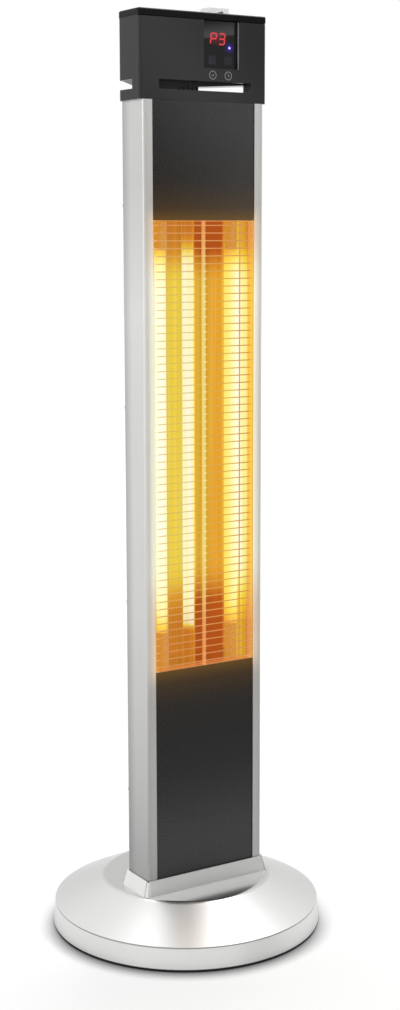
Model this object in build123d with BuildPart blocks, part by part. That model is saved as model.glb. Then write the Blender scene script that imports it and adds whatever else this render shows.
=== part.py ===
from build123d import *
import os
from math import atan2, cos, radians, sin, tan

# Infrared patio heater tower: a slim aluminium column on a round weighted base,
# with two upright quartz tubes behind a wire grille and a control head on top.
# Millimetres, +Z up. The front faces -Y. The origin is on the floor, in the
# centre of the round base; the column stands a little forward of that centre.

os.makedirs("parts", exist_ok=True)

# ------------------------------------------------------------------ fits
slip = 0.3               # parts that are slid into each other
snug = 0.05              # screws, pins and stems in their holes
shadow_gap = 0.5         # open joint line round the front panels

# ------------------------------------------------------------------ base
base_radius = 151.4      # foot of the rim
rim_lean = 2.0           # how far the rim leans in towards its top
crease_height = 27.0     # edge between cone and rim, above the floor
crease_lip = 0.5         # small roll under that edge
plateau_radius = 91.0
plateau_height = 54.5    # flat top of the base, above the floor
plateau_round = 8.0
cover_sheet = 1.2
gasket_height = 3.0
gasket_width = 10.0
gasket_inset = 0.8
pan_sheet = 1.5
weight_inset = 13.0
weight_thickness = 14.0
weight_hub_length = 120.0
weight_hub_depth = 40.0
weight_hub_round = 10.0
foot_bolt_radius = 4.0
foot_bolt_distance = 90.0
foot_bolt_row_distance = 20.0
foot_bolt_head_radius = 7.5
foot_bolt_head_height = 5.3
foot_bolt_recess = 9.0
foot_bolt_clearance = 1.0 # round the bolt heads
nut_height = 6.5
nut_radius = 7.0
pan_screw_count = 6
pan_screw_radius = 2.0
pan_screw_circle = 120.0
pan_screw_length = 10.0

# ------------------------------------------------------------------ tilt switch in the base
tilt_switch_inset = 56.4  # from the foot of the rim to the middle of the switch
tilt_body_length = 24.0
tilt_body_depth = 14.0
tilt_body_height = 20.0
plunger_radius = 3.0
plunger_clearance = 1.0   # round the plunger in the pan and the weight
plunger_collar_radius = 4.3
plunger_collar_height = 2.0
plunger_travel = 4.0
plunger_tip_round = 1.0
plunger_tip_height = 0.3
tilt_guide_height = 5.5
spring_space = 5.0
spring_turns = 3
spring_wire_radius = 0.4
spring_radius = 2.6

# ------------------------------------------------------------------ column
column_width = 149.0
column_depth = 44.7
column_front = -42.2     # front face of the two side profiles
foot_plate_thickness = 3.0
lower_panel_height = 247.9
window_height = 482.0
upper_panel_height = 122.4
profile_wall = 2.0
profile_strip = 11.4     # width of each aluminium strip beside the window
profile_corner = 3.5
profile_return = 5.0
profile_return_wall = 1.5
lip_width = 10.0
lip_thickness = 1.6
port_radius = 3.4        # screw ports that run along the profiles
port_hole_radius = 1.5
port_front_offset = 7.2
port_back_offset = 10.5
port_side_offset = 4.9
rib_thickness = 1.5
rib_overlap = 1.0        # how far the ribs reach behind panels and grille
panel_sheet = 1.2
panel_recess = 1.0
panel_flange = 7.8
rear_cover_sheet = 1.2
vent_slot_length = 46.0
vent_slot_height = 3.0
vent_pitch = 8.0
vent_rows = 9
vent_margin = 24.0       # from the gland, and from the top, to the slots
rear_screw_radius = 1.5
rear_screw_rows = 4
rear_screw_length = 6.0

# ------------------------------------------------------------------ collar
collar_height = 16.7
collar_flare_bottom = 6.2
collar_flare_top = 1.8
collar_sheet = 1.2
collar_proud = 0.25      # plates stand this much proud of the core
collar_facet_bottom = 2.7
collar_facet_top = 1.6
collar_gap_bottom = 2.4
collar_gap_top = 1.2
collar_core_drop = 1.0

# ------------------------------------------------------------------ grille and heating unit
wire_radius = 0.6
wire_pitch = 8.0
wire_set = 0.7           # wires behind the front edge of the frame, to their middle
weld_lap = 0.15          # how far crossing wires are welded into each other
grille_frame_sheet = 1.0
grille_bar_width = 4.0
grille_bar_sheet = 1.2
side_wire_x = 46.0
reflector_sheet = 0.8
reflector_overrun = 9.0  # the reflector runs on behind both panels
reflector_depth = 33.0   # trough floor behind the column's front
ridge_depth = 22.0
trough_half_width = 50.0
ridge_half_width = 8.0
reflector_flange = 8.0
tube_x = 44.5
tube_depth = 18.0
tube_radius = 7.0
tube_wall = 1.2
tube_length = 412.0
tube_lift = 4.6          # middle of the tubes above the middle of the window
filament_width = 7.0
filament_thickness = 1.0
cap_width = 7.0
cap_depth = 15.0
cap_round = 1.4
bracket_sheet = 1.2
bracket_back = 27.7      # rear edge of the tube brackets behind the column's front
cutout_radius = 8.0
cutout_height = 7.0
cutout_x = 18.0
cutout_tab_length = 24.0
cutout_tab_width = 4.0

# ------------------------------------------------------------------ wiring
terminal_length = 46.0
terminal_depth = 18.0
terminal_height = 22.0
terminal_chamfer = 3.0
terminal_rise = 25.0     # above the upper tube bracket
gland_height = 45.0      # above the column's foot
gland_bore_radius = 3.75
gland_flange_radius = 10.0
gland_flange = 5.0
gland_dome_radius = 8.5
gland_dome = 12.0
gland_round = 2.8
gland_thread_radius = 7.0
gland_nut = 5.0
gland_nut_radius = 9.5
supply_lead_radius = 3.25
element_lead_radius = 1.5
control_lead_radius = 3.0
control_lead_x = -11.5
lead_bend_share = 0.45   # share of the shorter run that a bend may take
supply_lead_run = 22.0   # runs of the supply lead behind the gland
lead_rise = 16.0
lead_drop = 22.0
lead_clearance = 4.5     # return leads behind the reflector

# ------------------------------------------------------------------ control head
head_height = 90.2
head_overhang = 3.2      # beyond each side of the column
head_front_set = 0.7     # behind the column's front face
head_back_set = 0.3      # in front of the column's rear face
head_wall = 2.2
head_corner = 5.0
lid_height = 7.0
lid_overhang = 0.3
lid_wall = 2.5
lid_chamfer = 1.0
fascia_thickness = 3.0
fascia_round = 2.2
seam = 0.6
gap_rise = 10.9          # floor of the cooling gap above the column's top
gap_height = 9.6
slot_left = -54.6
slot_right = 58.7
pillar_depth = 14.7
neck_left = -50.0
neck_right = 3.0
neck_depth = 20.0
neck_set = 1.0           # from the back of the front pillars to the neck
neck_wall = 2.5
neck_rib = 1.2
neck_rib_count = 5
hull_inset = 5.0         # from each side of the head to where its underside starts to slope
hull_drop_left = 7.0     # how far it has dropped where it meets the neck
hull_drop_right = 4.6
floor_plate = 2.5
mount_plate = 2.5
head_screw_radius = 2.0
head_screw_x = 55.0
head_screw_row = 14.0
head_screw_grip = 5.0
head_boss_radius = 4.0
port_screw_length = 16.0
screw_head_height = 2.0
screw_head_round = 0.7
screw_head_overhang = 1.8

# ------------------------------------------------------------------ control panel
recess_left = 0.2
recess_width = 44.0
recess_rise = 34.0       # bottom of the recess above the column's top
recess_depth = 5.0
recess_wall = 1.6
lens_thickness = 1.6
module_width = 25.0
module_height = 19.0
module_depth = 8.0
module_x = 20.5
module_rise = 62.8
digit_indicator_radius = 1.6
digit_indicator_x = 34.8
digit_indicator_rise = 56.2
field_size = 9.0
field_left_x = 13.3
field_right_x = 33.2
field_rise = 43.0
sensor_size = 4.0
sensor_x = 39.2
sensor_rise = 70.0
key_left_x = 11.0
key_right_x = 30.2
key_rise = 27.2
key_radius = 4.0
board_left = -62.0
board_right = 50.0
board_thickness = 1.6
board_height = 56.0
board_rise = 24.0        # lower edge of the board above the column's top
relay_length = 16.0
relay_depth = 15.5
relay_height = 20.0
relay_round = 1.0
relay_pitch = 24.0
relay_inset = 24.0       # first relay from the end of the board
post_radius = 3.0
post_inset = 5.0
board_screw_radius = 1.2
board_screw_length = 8.0

# ------------------------------------------------------------------ mains switch on the lid
switch_x = 29.5
switch_y = -16.0
bezel_length = 21.0
bezel_width = 15.0
bezel_height = 2.0
bezel_chamfer = 0.5
switch_body_length = 19.0
switch_body_width = 12.8
switch_body_depth = 18.0
rocker_length = 15.6
rocker_width = 10.4
rocker_rise = 2.0
rocker_pivot_rise = 0.5
rocker_tilt = 10.0       # degrees each way from level
rocker_travel_clear = 0.8
trunnion_reach = 0.8     # beyond each side of the rocker
trunnion_radius = 1.2
boot_length = 26.5
boot_width = 18.5
boot_height = 8.2
boot_wall = 0.8
boot_round = 2.2
boot_top_round = 1.8

# ------------------------------------------------------------------ worked-out places
BASE = (Align.CENTER, Align.CENTER, Align.MIN)
TOP = (Align.CENTER, Align.CENTER, Align.MAX)
QUARTER_TURN = 90.0
HALF_TURN = 180.0

column_back = column_front + column_depth
column_mid = (column_front + column_back) / 2
half_width = column_width / 2
column_bottom = plateau_height + foot_plate_thickness
window_bottom = column_bottom + lower_panel_height
window_top = window_bottom + window_height
column_top = window_top + upper_panel_height
head_top = column_top + head_height
crease_radius = base_radius - rim_lean
tilt_switch_y = base_radius - tilt_switch_inset
panel_half_width = half_width - profile_strip - shadow_gap
panel_front = column_front + panel_recess
panel_back = panel_front + panel_sheet + panel_flange
rib_back = panel_back + rib_thickness
cover_inner = column_back - lip_thickness - rear_cover_sheet
port_x = half_width - port_side_offset
port_ys = (column_front + port_front_offset, column_back - port_back_offset)


def span_box(x_span, y_span, z_span, mode=Mode.ADD):
    """A box in the active part, given by its limits along each axis."""
    spans = (x_span, y_span, z_span)
    centre = tuple((low + high) / 2 for low, high in spans)
    with Locations(centre):
        Box(*(high - low for low, high in spans), mode=mode)


def span_rectangle(x_span, y_span, mode=Mode.ADD):
    """A rectangle in the active sketch, given by its limits along each axis."""
    spans = (x_span, y_span)
    with Locations(tuple((low + high) / 2 for low, high in spans)):
        Rectangle(*(high - low for low, high in spans), mode=mode)


def round_corners(sketch, spots, radius):
    """Fillet the corners of a sketch that lie nearest to the given points."""
    fillet([sketch.vertices().sort_by_distance(spot)[0] for spot in spots], radius)


def pan_head_screw(shank_radius, length):
    """A pan-head screw: the head stands on Z = 0 and the shank hangs below it."""
    with BuildPart() as screw:
        Cylinder(shank_radius + screw_head_overhang, screw_head_height, align=BASE)
        fillet(screw.edges().group_by(Axis.Z)[-1], screw_head_round)
        Cylinder(shank_radius, length, align=TOP)
    return screw.part


# ================================================================== base
# Spun cover: flat top, cone, crease and a rim that leans in. One skin of sheet metal.
cone_slope = atan2(plateau_height - crease_height, crease_radius - plateau_radius)
inner_plateau = plateau_radius - cover_sheet * tan(cone_slope / 2)
inner_crease_radius = crease_radius - crease_lip - cover_sheet
inner_top = plateau_height - cover_sheet
inner_crease_height = inner_top - (inner_crease_radius - inner_plateau) * tan(cone_slope)
bolt_spots = [
    (sx * foot_bolt_distance / 2, column_mid + sy * foot_bolt_row_distance / 2)
    for sx in (-1, 1)
    for sy in (-1, 1)
]

with BuildPart() as base_cover:
    with BuildSketch(Plane.XZ) as cover_section:
        with BuildLine():
            Polyline(
                (0, plateau_height),
                (plateau_radius, plateau_height),
                (crease_radius, crease_height),
                (crease_radius - crease_lip, crease_height - crease_lip),
                (base_radius, gasket_height),
                (base_radius - cover_sheet, gasket_height),
                (inner_crease_radius, inner_crease_height),
                (inner_plateau, inner_top),
                (0, inner_top),
                close=True,
            )
        make_face()
        round_corners(
            cover_section, [(plateau_radius, plateau_height), (inner_plateau, inner_top)], plateau_round
        )
    revolve(axis=Axis.Z)
    with Locations(*[(x, y, inner_top) for x, y in bolt_spots]):
        Cylinder(foot_bolt_radius + slip, cover_sheet, align=BASE, mode=Mode.SUBTRACT)
base_cover.part.label = "base_cover"
export_step(base_cover.part, "parts/base_cover.step")

# Rubber edge that the whole tower stands on.
gasket_radius = base_radius - gasket_inset
with BuildPart() as base_gasket:
    Cylinder(gasket_radius, gasket_height, align=BASE)
    Cylinder(gasket_radius - gasket_width, gasket_height, align=BASE, mode=Mode.SUBTRACT)
base_gasket.part.label = "base_gasket"
export_step(base_gasket.part, "parts/base_gasket.step")

# Pan that closes the base from below.
pan_radius = base_radius - rim_lean * pan_sheet / crease_height - cover_sheet - slip
pan_top = gasket_height + pan_sheet
pan_screw_spots = [
    (pan_screw_circle * cos(turn), pan_screw_circle * sin(turn), gasket_height)
    for turn in (radians(360 / pan_screw_count * (index + 0.5)) for index in range(pan_screw_count))
]
with BuildPart() as base_pan:
    with Locations((0, 0, gasket_height)):
        Cylinder(pan_radius, pan_sheet, align=BASE)
    with Locations((0, tilt_switch_y, gasket_height)):
        Cylinder(plunger_radius + plunger_clearance, pan_sheet, align=BASE, mode=Mode.SUBTRACT)
    with Locations(*pan_screw_spots):
        Cylinder(pan_screw_radius + snug, pan_sheet, align=BASE, mode=Mode.SUBTRACT)
base_pan.part.label = "base_pan"
export_step(base_pan.part, "parts/base_pan.step")

# Cast weight: a disc with a hub that carries the column's foot.
weight_radius = base_radius - weight_inset
weight_top = pan_top + weight_thickness
with BuildPart() as base_weight:
    with Locations((0, 0, pan_top)):
        Cylinder(weight_radius, weight_thickness, align=BASE)
    with BuildSketch(Plane.XY.offset(weight_top)):
        with Locations((0, column_mid)):
            RectangleRounded(weight_hub_length, weight_hub_depth, weight_hub_round)
    extrude(amount=inner_top - weight_top)
    with Locations(*[(x, y, pan_top) for x, y in bolt_spots]):
        Cylinder(foot_bolt_radius + slip, inner_top - pan_top, align=BASE, mode=Mode.SUBTRACT)
        Cylinder(
            foot_bolt_head_radius + foot_bolt_clearance, foot_bolt_recess, align=BASE, mode=Mode.SUBTRACT
        )
    with Locations(*pan_screw_spots):
        Cylinder(pan_screw_radius + snug, pan_sheet + pan_screw_length, align=BASE, mode=Mode.SUBTRACT)
    with Locations((0, tilt_switch_y, pan_top)):
        Cylinder(plunger_radius + plunger_clearance, weight_thickness, align=BASE, mode=Mode.SUBTRACT)
base_weight.part.label = "base_weight"
export_step(base_weight.part, "parts/base_weight.step")

# Screws that hold the pan to the weight.
pan_screw = pan_head_screw(pan_screw_radius, pan_sheet + pan_screw_length)
with BuildPart() as pan_screws:
    with Locations(*[Location(spot, (HALF_TURN, 0, 0)) for spot in pan_screw_spots]):
        add(pan_screw)
pan_screws.part.label = "pan_screws"
export_step(pan_screws.part, "parts/pan_screws.step")

# Plate that the column stands on, with welded nuts for the foot bolts.
port_spots = [(side * port_x, y) for side in (-1, 1) for y in port_ys]
with BuildPart() as foot_plate:
    with Locations((0, column_mid, plateau_height)):
        Box(column_width - 2 * slip, column_depth - 2 * slip, foot_plate_thickness, align=BASE)
    with BuildSketch(Plane.XY.offset(column_bottom)):
        with Locations(*bolt_spots):
            RegularPolygon(nut_radius, 6)
    extrude(amount=nut_height)
    with Locations(*[(x, y, plateau_height) for x, y in bolt_spots]):
        Cylinder(foot_bolt_radius + snug, foot_plate_thickness + nut_height, align=BASE, mode=Mode.SUBTRACT)
    with Locations(*[(x, y, plateau_height) for x, y in port_spots]):
        Cylinder(port_hole_radius + snug, foot_plate_thickness, align=BASE, mode=Mode.SUBTRACT)
        Cylinder(
            port_hole_radius + screw_head_overhang + snug, screw_head_height, align=BASE, mode=Mode.SUBTRACT
        )
foot_plate.part.label = "foot_plate"
export_step(foot_plate.part, "parts/foot_plate.step")

# Bolts from below, through weight and cover, into the welded nuts.
bolt_seat = pan_top + foot_bolt_recess
bolt_length = column_bottom + nut_height - bolt_seat
with BuildPart() as foot_bolts:
    with BuildSketch(Plane.XY.offset(bolt_seat)):
        with Locations(*bolt_spots):
            RegularPolygon(foot_bolt_head_radius, 6)
    extrude(amount=-foot_bolt_head_height)
    with Locations(*[(x, y, bolt_seat) for x, y in bolt_spots]):
        Cylinder(foot_bolt_radius, bolt_length, align=BASE)
foot_bolts.part.label = "foot_bolts"
export_step(foot_bolts.part, "parts/foot_bolts.step")

# Tilt switch: the floor holds the plunger up; lifted or tipped, it drops by its travel.
chamber_floor = weight_top + tilt_guide_height
collar_seat = chamber_floor + plunger_travel + slip
plunger_top = collar_seat + plunger_collar_height
chamber_top = plunger_top + spring_space
with BuildPart() as tilt_switch_body:
    with Locations((0, tilt_switch_y, weight_top)):
        Box(tilt_body_length, tilt_body_depth, tilt_body_height, align=BASE)
        Cylinder(plunger_radius + snug, tilt_guide_height, align=BASE, mode=Mode.SUBTRACT)
    with Locations((0, tilt_switch_y, chamber_floor)):
        Cylinder(
            plunger_collar_radius + slip, chamber_top - chamber_floor, align=BASE, mode=Mode.SUBTRACT
        )
tilt_switch_body.part.label = "tilt_switch_body"
export_step(tilt_switch_body.part, "parts/tilt_switch_body.step")

with BuildPart() as tilt_plunger:
    with Locations((0, tilt_switch_y, plunger_tip_height)):
        Cylinder(plunger_radius, plunger_top - plunger_tip_height, align=BASE)
    fillet(tilt_plunger.edges().group_by(Axis.Z)[0], plunger_tip_round)
    with Locations((0, tilt_switch_y, collar_seat)):
        Cylinder(plunger_collar_radius, plunger_collar_height, align=BASE)
tilt_plunger.part.label = "tilt_plunger"
export_step(tilt_plunger.part, "parts/tilt_plunger.step")

spring_bottom = plunger_top + spring_wire_radius
spring_height = spring_space - 2 * spring_wire_radius
with BuildPart() as plunger_spring:
    with BuildLine() as coil:
        Helix(
            pitch=spring_height / spring_turns,
            height=spring_height,
            radius=spring_radius,
            center=(0, tilt_switch_y, spring_bottom),
        )
    with BuildSketch(Plane(origin=coil.line @ 0, z_dir=coil.line % 0)):
        Circle(spring_wire_radius)
    sweep(path=coil.line)
plunger_spring.part.label = "plunger_spring"
export_step(plunger_spring.part, "parts/plunger_spring.step")

# ================================================================== collar
# Four brushed plates slope outwards from the column, in pockets of a polished core
# whose corners show between them.
collar_sides = (
    ("front", 0.0, column_width / 2, column_depth / 2),
    ("right", QUARTER_TURN, column_depth / 2, column_width / 2),
    ("rear", HALF_TURN, column_width / 2, column_depth / 2),
    ("left", -QUARTER_TURN, column_depth / 2, column_width / 2),
)


def collar_flare(height):
    """How far the collar's plates stand out from the column at a height above the plateau."""
    return collar_flare_bottom + (collar_flare_top - collar_flare_bottom) * height / collar_height


def collar_slab(turn, half_span, face_distance, corners, outward):
    """Foot and top edge of the sloping plate on one side, as two thin rectangles to loft."""
    slices = []
    for height, corner in zip((0.0, collar_height), corners):
        along = Vector(1, 0, 0).rotate(Axis.Z, turn)
        level = Plane(origin=(0, column_mid, plateau_height + height), x_dir=along, z_dir=(0, 0, 1))
        reach = collar_flare(height)
        with BuildSketch(level) as slice_sketch:
            with Locations((0, -face_distance - reach - outward)):
                Rectangle(
                    2 * (half_span + reach - corner),
                    collar_sheet + outward,
                    align=(Align.CENTER, Align.MIN),
                )
        slices.append(slice_sketch.sketch)
    return slices


plate_corners = (collar_facet_bottom + collar_gap_bottom, collar_facet_top + collar_gap_top)
pocket_corners = (collar_facet_bottom, collar_facet_top)
for name, turn, half_span, face_distance in collar_sides:
    with BuildPart() as collar_plate:
        loft(sections=collar_slab(turn, half_span, face_distance, plate_corners, 0))
    collar_plate.part.label = f"collar_plate_{name}"
    export_step(collar_plate.part, f"parts/collar_plate_{name}.step")

core_height = collar_height - collar_core_drop
with BuildPart() as collar_core:
    for height, facet in ((0.0, collar_facet_bottom), (core_height, collar_facet_top)):
        core_flare = collar_flare(height) - collar_proud
        with BuildSketch(Plane.XY.offset(plateau_height + height)) as core_level:
            with Locations((0, column_mid)):
                Rectangle(column_width + 2 * core_flare, column_depth + 2 * core_flare)
            chamfer(core_level.vertices(), facet)
    loft(ruled=True)
    with Locations((0, column_mid, plateau_height)):
        Box(column_width + 2 * slip, column_depth + 2 * slip, collar_height, align=BASE, mode=Mode.SUBTRACT)
    for name, turn, half_span, face_distance in collar_sides:
        pocket = collar_slab(turn, half_span, face_distance, pocket_corners, collar_sheet)
        loft(sections=pocket, mode=Mode.SUBTRACT)
collar_core.part.label = "collar_core"
export_step(collar_core.part, "parts/collar_core.step")

# ================================================================== column
column_length = column_top - column_bottom
rear_screw_heights = [
    column_bottom + column_length * (row + 0.5) / rear_screw_rows for row in range(rear_screw_rows)
]
rear_screw_x = port_x
rear_screw_places = [
    Location((side * rear_screw_x, column_back, height), (-QUARTER_TURN, 0, 0))
    for side in (-1, 1)
    for height in rear_screw_heights
]


def side_span(side, outer, inner):
    """Limits along X of something between two distances from the middle, on one side."""
    return (side * outer, side * inner) if side < 0 else (inner, outer)


# Extruded side profiles: side wall, front strip with a return, rear lip, a rib and two screw ports.
for side_name, side in (("left", -1), ("right", 1)):
    strip_inner = half_width - profile_strip
    wall_inner = half_width - profile_wall
    with BuildPart() as side_profile:
        with BuildSketch(Plane.XY.offset(column_bottom)) as profile_section:
            span_rectangle(side_span(side, half_width, wall_inner), (column_front, column_back))
            span_rectangle(
                side_span(side, half_width, strip_inner), (column_front, column_front + profile_wall)
            )
            span_rectangle(
                side_span(side, strip_inner + profile_return_wall, strip_inner),
                (column_front, column_front + profile_return),
            )
            span_rectangle(
                side_span(side, half_width, half_width - lip_width),
                (column_back - lip_thickness, column_back),
            )
            span_rectangle(
                side_span(side, half_width, panel_half_width - rib_overlap), (panel_back, rib_back)
            )
            with Locations(*[(side * port_x, y) for y in port_ys]):
                Circle(port_radius)
            with Locations(*[(side * (half_width - port_side_offset / 2), y) for y in port_ys]):
                Rectangle(port_side_offset, port_radius)
            with Locations(*[(side * port_x, y) for y in port_ys]):
                Circle(port_hole_radius + snug, mode=Mode.SUBTRACT)
            round_corners(
                profile_section,
                [(side * half_width, column_front), (side * half_width, column_back)],
                profile_corner,
            )
        extrude(amount=column_length)
        with Locations(*rear_screw_places):
            Cylinder(
                rear_screw_radius + snug, lip_thickness + rear_cover_sheet, align=TOP, mode=Mode.SUBTRACT
            )
    side_profile.part.label = f"side_profile_{side_name}"
    export_step(side_profile.part, f"parts/side_profile_{side_name}.step")


def folded_panel(low, high, flange_low, flange_high):
    """Front panel of folded sheet in the active part: a face with flanges at its sides and one end."""
    face_span = (-panel_half_width, panel_half_width)
    span_box(face_span, (panel_front, panel_back), (low, high))
    span_box(
        (-panel_half_width + panel_sheet, panel_half_width - panel_sheet),
        (panel_front + panel_sheet, panel_back),
        (low + flange_low, high - flange_high),
        mode=Mode.SUBTRACT,
    )


with BuildPart() as lower_panel:
    folded_panel(column_bottom, window_bottom - slip, 0, panel_sheet)
lower_panel.part.label = "lower_panel"
export_step(lower_panel.part, "parts/lower_panel.step")

with BuildPart() as upper_panel:
    folded_panel(window_top + slip, column_top, panel_sheet, 0)
upper_panel.part.label = "upper_panel"
export_step(upper_panel.part, "parts/upper_panel.step")

# Rear cover behind the profiles' lips, with rows of ventilation slots and the gland's hole.
cover_half_width = half_width - profile_wall - slip
gland_z = column_bottom + gland_height
vent_block = vent_pitch * (vent_rows - 1)
vent_centres = [
    gland_z + vent_margin + vent_block / 2,
    (window_bottom + window_top) / 2,
    column_top - vent_margin - vent_block / 2,
]
with BuildPart() as rear_cover:
    span_box(
        (-cover_half_width, cover_half_width),
        (cover_inner, cover_inner + rear_cover_sheet),
        (column_bottom, column_top),
    )
    with BuildSketch(Plane.XZ.offset(-cover_inner)):
        for vent_centre in vent_centres:
            with Locations((0, vent_centre)):
                with GridLocations(vent_slot_length + 2 * vent_pitch, vent_pitch, 2, vent_rows):
                    SlotOverall(vent_slot_length, vent_slot_height)
        with Locations((0, gland_z)):
            Circle(gland_thread_radius)
    extrude(amount=-rear_cover_sheet, mode=Mode.SUBTRACT)
    with Locations(*rear_screw_places):
        Cylinder(
            rear_screw_radius + snug, lip_thickness + rear_cover_sheet, align=TOP, mode=Mode.SUBTRACT
        )
rear_cover.part.label = "rear_cover"
export_step(rear_cover.part, "parts/rear_cover.step")

rear_screw = pan_head_screw(rear_screw_radius, rear_screw_length)
with BuildPart() as rear_screws:
    with Locations(*rear_screw_places):
        add(rear_screw)
rear_screws.part.label = "rear_screws"
export_step(rear_screws.part, "parts/rear_screws.step")

# ================================================================== grille
grille_front = column_front + wire_radius
wire_y = grille_front + wire_set
bar_front = wire_y + wire_radius - weld_lap
upright_y = wire_y + 2 * wire_radius - weld_lap
wire_count = int(window_height / wire_pitch)
first_wire = (window_bottom + window_top) / 2 - wire_pitch * (wire_count - 1) / 2
wire_reach = panel_half_width - grille_frame_sheet / 2
upright_low = window_bottom + grille_frame_sheet / 2
upright_high = window_top - grille_frame_sheet / 2
with BuildPart() as grille:
    span_box((-panel_half_width, panel_half_width), (grille_front, panel_back), (window_bottom, window_top))
    span_box(
        (-panel_half_width + grille_frame_sheet, panel_half_width - grille_frame_sheet),
        (column_front, panel_back + panel_sheet),
        (window_bottom + grille_frame_sheet, window_top - grille_frame_sheet),
        mode=Mode.SUBTRACT,
    )
    span_box(
        (-grille_bar_width / 2, grille_bar_width / 2),
        (bar_front, bar_front + grille_bar_sheet),
        (upright_low, upright_high),
    )
    with Locations(*[(side * side_wire_x, upright_y, upright_low) for side in (-1, 1)]):
        Cylinder(wire_radius, upright_high - upright_low, align=BASE)
    with BuildSketch(Plane.YZ.offset(-wire_reach)):
        with Locations(*[(wire_y, first_wire + wire_pitch * index) for index in range(wire_count)]):
            Circle(wire_radius)
    extrude(amount=2 * wire_reach)
grille.part.label = "grille"
export_step(grille.part, "parts/grille.step")

# ================================================================== heating unit
# Polished reflector: two troughs with a ridge between them.
rim_x = panel_half_width - grille_frame_sheet
reflector_low = window_bottom - reflector_overrun
reflector_high = window_top + reflector_overrun
trough_y = column_front + reflector_depth
ridge_y = column_front + ridge_depth
with BuildPart() as reflector:
    with BuildSketch(Plane.XY.offset(reflector_low)):
        with BuildLine():
            Polyline(
                (-rim_x - reflector_flange, rib_back),
                (-rim_x, rib_back),
                (-trough_half_width, trough_y),
                (-ridge_half_width, trough_y),
                (0, ridge_y),
                (ridge_half_width, trough_y),
                (trough_half_width, trough_y),
                (rim_x, rib_back),
                (rim_x + reflector_flange, rib_back),
            )
            offset(amount=reflector_sheet, side=Side.LEFT, kind=Kind.INTERSECTION)
        make_face()
    extrude(amount=reflector_high - reflector_low)
reflector.part.label = "reflector"
export_step(reflector.part, "parts/reflector.step")

# Brackets above and below, which hold the reflector and the ceramic caps of the tubes.
bracket_levels = {"lower": reflector_low - bracket_sheet, "upper": reflector_high}
bracket_rear = column_front + bracket_back
bracket_half = panel_half_width - panel_sheet - slip
tube_y = column_front + tube_depth
for place, level in bracket_levels.items():
    with BuildPart() as tube_bracket:
        span_box(
            (-bracket_half, bracket_half),
            (panel_front + panel_sheet + slip, bracket_rear),
            (level, level + bracket_sheet),
        )
        span_box(
            (-half_width + profile_wall, half_width - profile_wall),
            (rib_back + slip, bracket_rear),
            (level, level + bracket_sheet),
        )
        with Locations(*[(side * tube_x, tube_y, level) for side in (-1, 1)]):
            Cylinder(element_lead_radius + snug, bracket_sheet, align=BASE, mode=Mode.SUBTRACT)
    tube_bracket.part.label = f"tube_bracket_{place}"
    export_step(tube_bracket.part, f"parts/tube_bracket_{place}.step")

tube_low = (window_bottom + window_top) / 2 + tube_lift - tube_length / 2
tube_high = tube_low + tube_length
for side_name, side in (("left", -1), ("right", 1)):
    with BuildPart() as quartz_tube:
        with Locations((side * tube_x, tube_y, tube_low)):
            Cylinder(tube_radius, tube_length, align=BASE)
            Cylinder(tube_radius - tube_wall, tube_length, align=BASE, mode=Mode.SUBTRACT)
    quartz_tube.part.label = f"quartz_tube_{side_name}"
    export_step(quartz_tube.part, f"parts/quartz_tube_{side_name}.step")

    with BuildPart() as filament:
        with Locations((side * tube_x, tube_y, tube_low)):
            Box(filament_width, filament_thickness, tube_length, align=BASE)
    filament.part.label = f"filament_{side_name}"
    export_step(filament.part, f"parts/filament_{side_name}.step")

    for place, low, high in (("lower", reflector_low, tube_low), ("upper", tube_high, reflector_high)):
        with BuildPart() as ceramic_cap:
            with Locations((side * tube_x, tube_y, low)):
                Box(cap_width, cap_depth, high - low, align=BASE)
            fillet(ceramic_cap.edges().filter_by(Axis.Z), cap_round)
            with Locations((side * tube_x, tube_y, low)):
                Cylinder(element_lead_radius + snug, high - low, align=BASE, mode=Mode.SUBTRACT)
        ceramic_cap.part.label = f"ceramic_cap_{place}_{side_name}"
        export_step(ceramic_cap.part, f"parts/ceramic_cap_{place}_{side_name}.step")

upper_bracket_top = reflector_high + bracket_sheet
with BuildPart() as thermal_cutout:
    with Locations((cutout_x, tube_y, upper_bracket_top)):
        Cylinder(cutout_radius, cutout_height, align=BASE)
        Box(cutout_tab_length, cutout_tab_width, bracket_sheet, align=BASE)
thermal_cutout.part.label = "thermal_cutout"
export_step(thermal_cutout.part, "parts/thermal_cutout.step")

# ================================================================== wiring
terminal_low = upper_bracket_top + terminal_rise
terminal_high = terminal_low + terminal_height
with BuildPart() as terminal_block:
    span_box(
        (-terminal_length / 2, terminal_length / 2),
        (cover_inner - terminal_depth, cover_inner),
        (terminal_low, terminal_high),
    )
    chamfer(terminal_block.edges().filter_by(Axis.X).group_by(Axis.Y)[0], terminal_chamfer)
terminal_block.part.label = "terminal_block"
export_step(terminal_block.part, "parts/terminal_block.step")

# Gland for the supply cord, in the rear cover near its foot.
cover_outer = cover_inner + rear_cover_sheet
with BuildPart() as cable_gland:
    with BuildSketch(Plane.XZ.offset(-cover_outer)):
        with Locations((0, gland_z)):
            RegularPolygon(gland_flange_radius, 6)
    extrude(amount=-gland_flange)
    with Locations(Location((0, cover_outer + gland_flange, gland_z), (-QUARTER_TURN, 0, 0))):
        Cylinder(gland_dome_radius, gland_dome, align=BASE)
    fillet(cable_gland.edges().group_by(Axis.Y)[-1], gland_round)
    with Locations(Location((0, cover_inner - gland_nut, gland_z), (-QUARTER_TURN, 0, 0))):
        Cylinder(gland_thread_radius - snug, gland_nut + rear_cover_sheet, align=BASE)
        Cylinder(gland_nut_radius, gland_nut, align=BASE)
        Cylinder(
            gland_bore_radius,
            gland_nut + rear_cover_sheet + gland_flange + gland_dome,
            align=BASE,
            mode=Mode.SUBTRACT,
        )
cable_gland.part.label = "cable_gland"
export_step(cable_gland.part, "parts/cable_gland.step")

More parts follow.
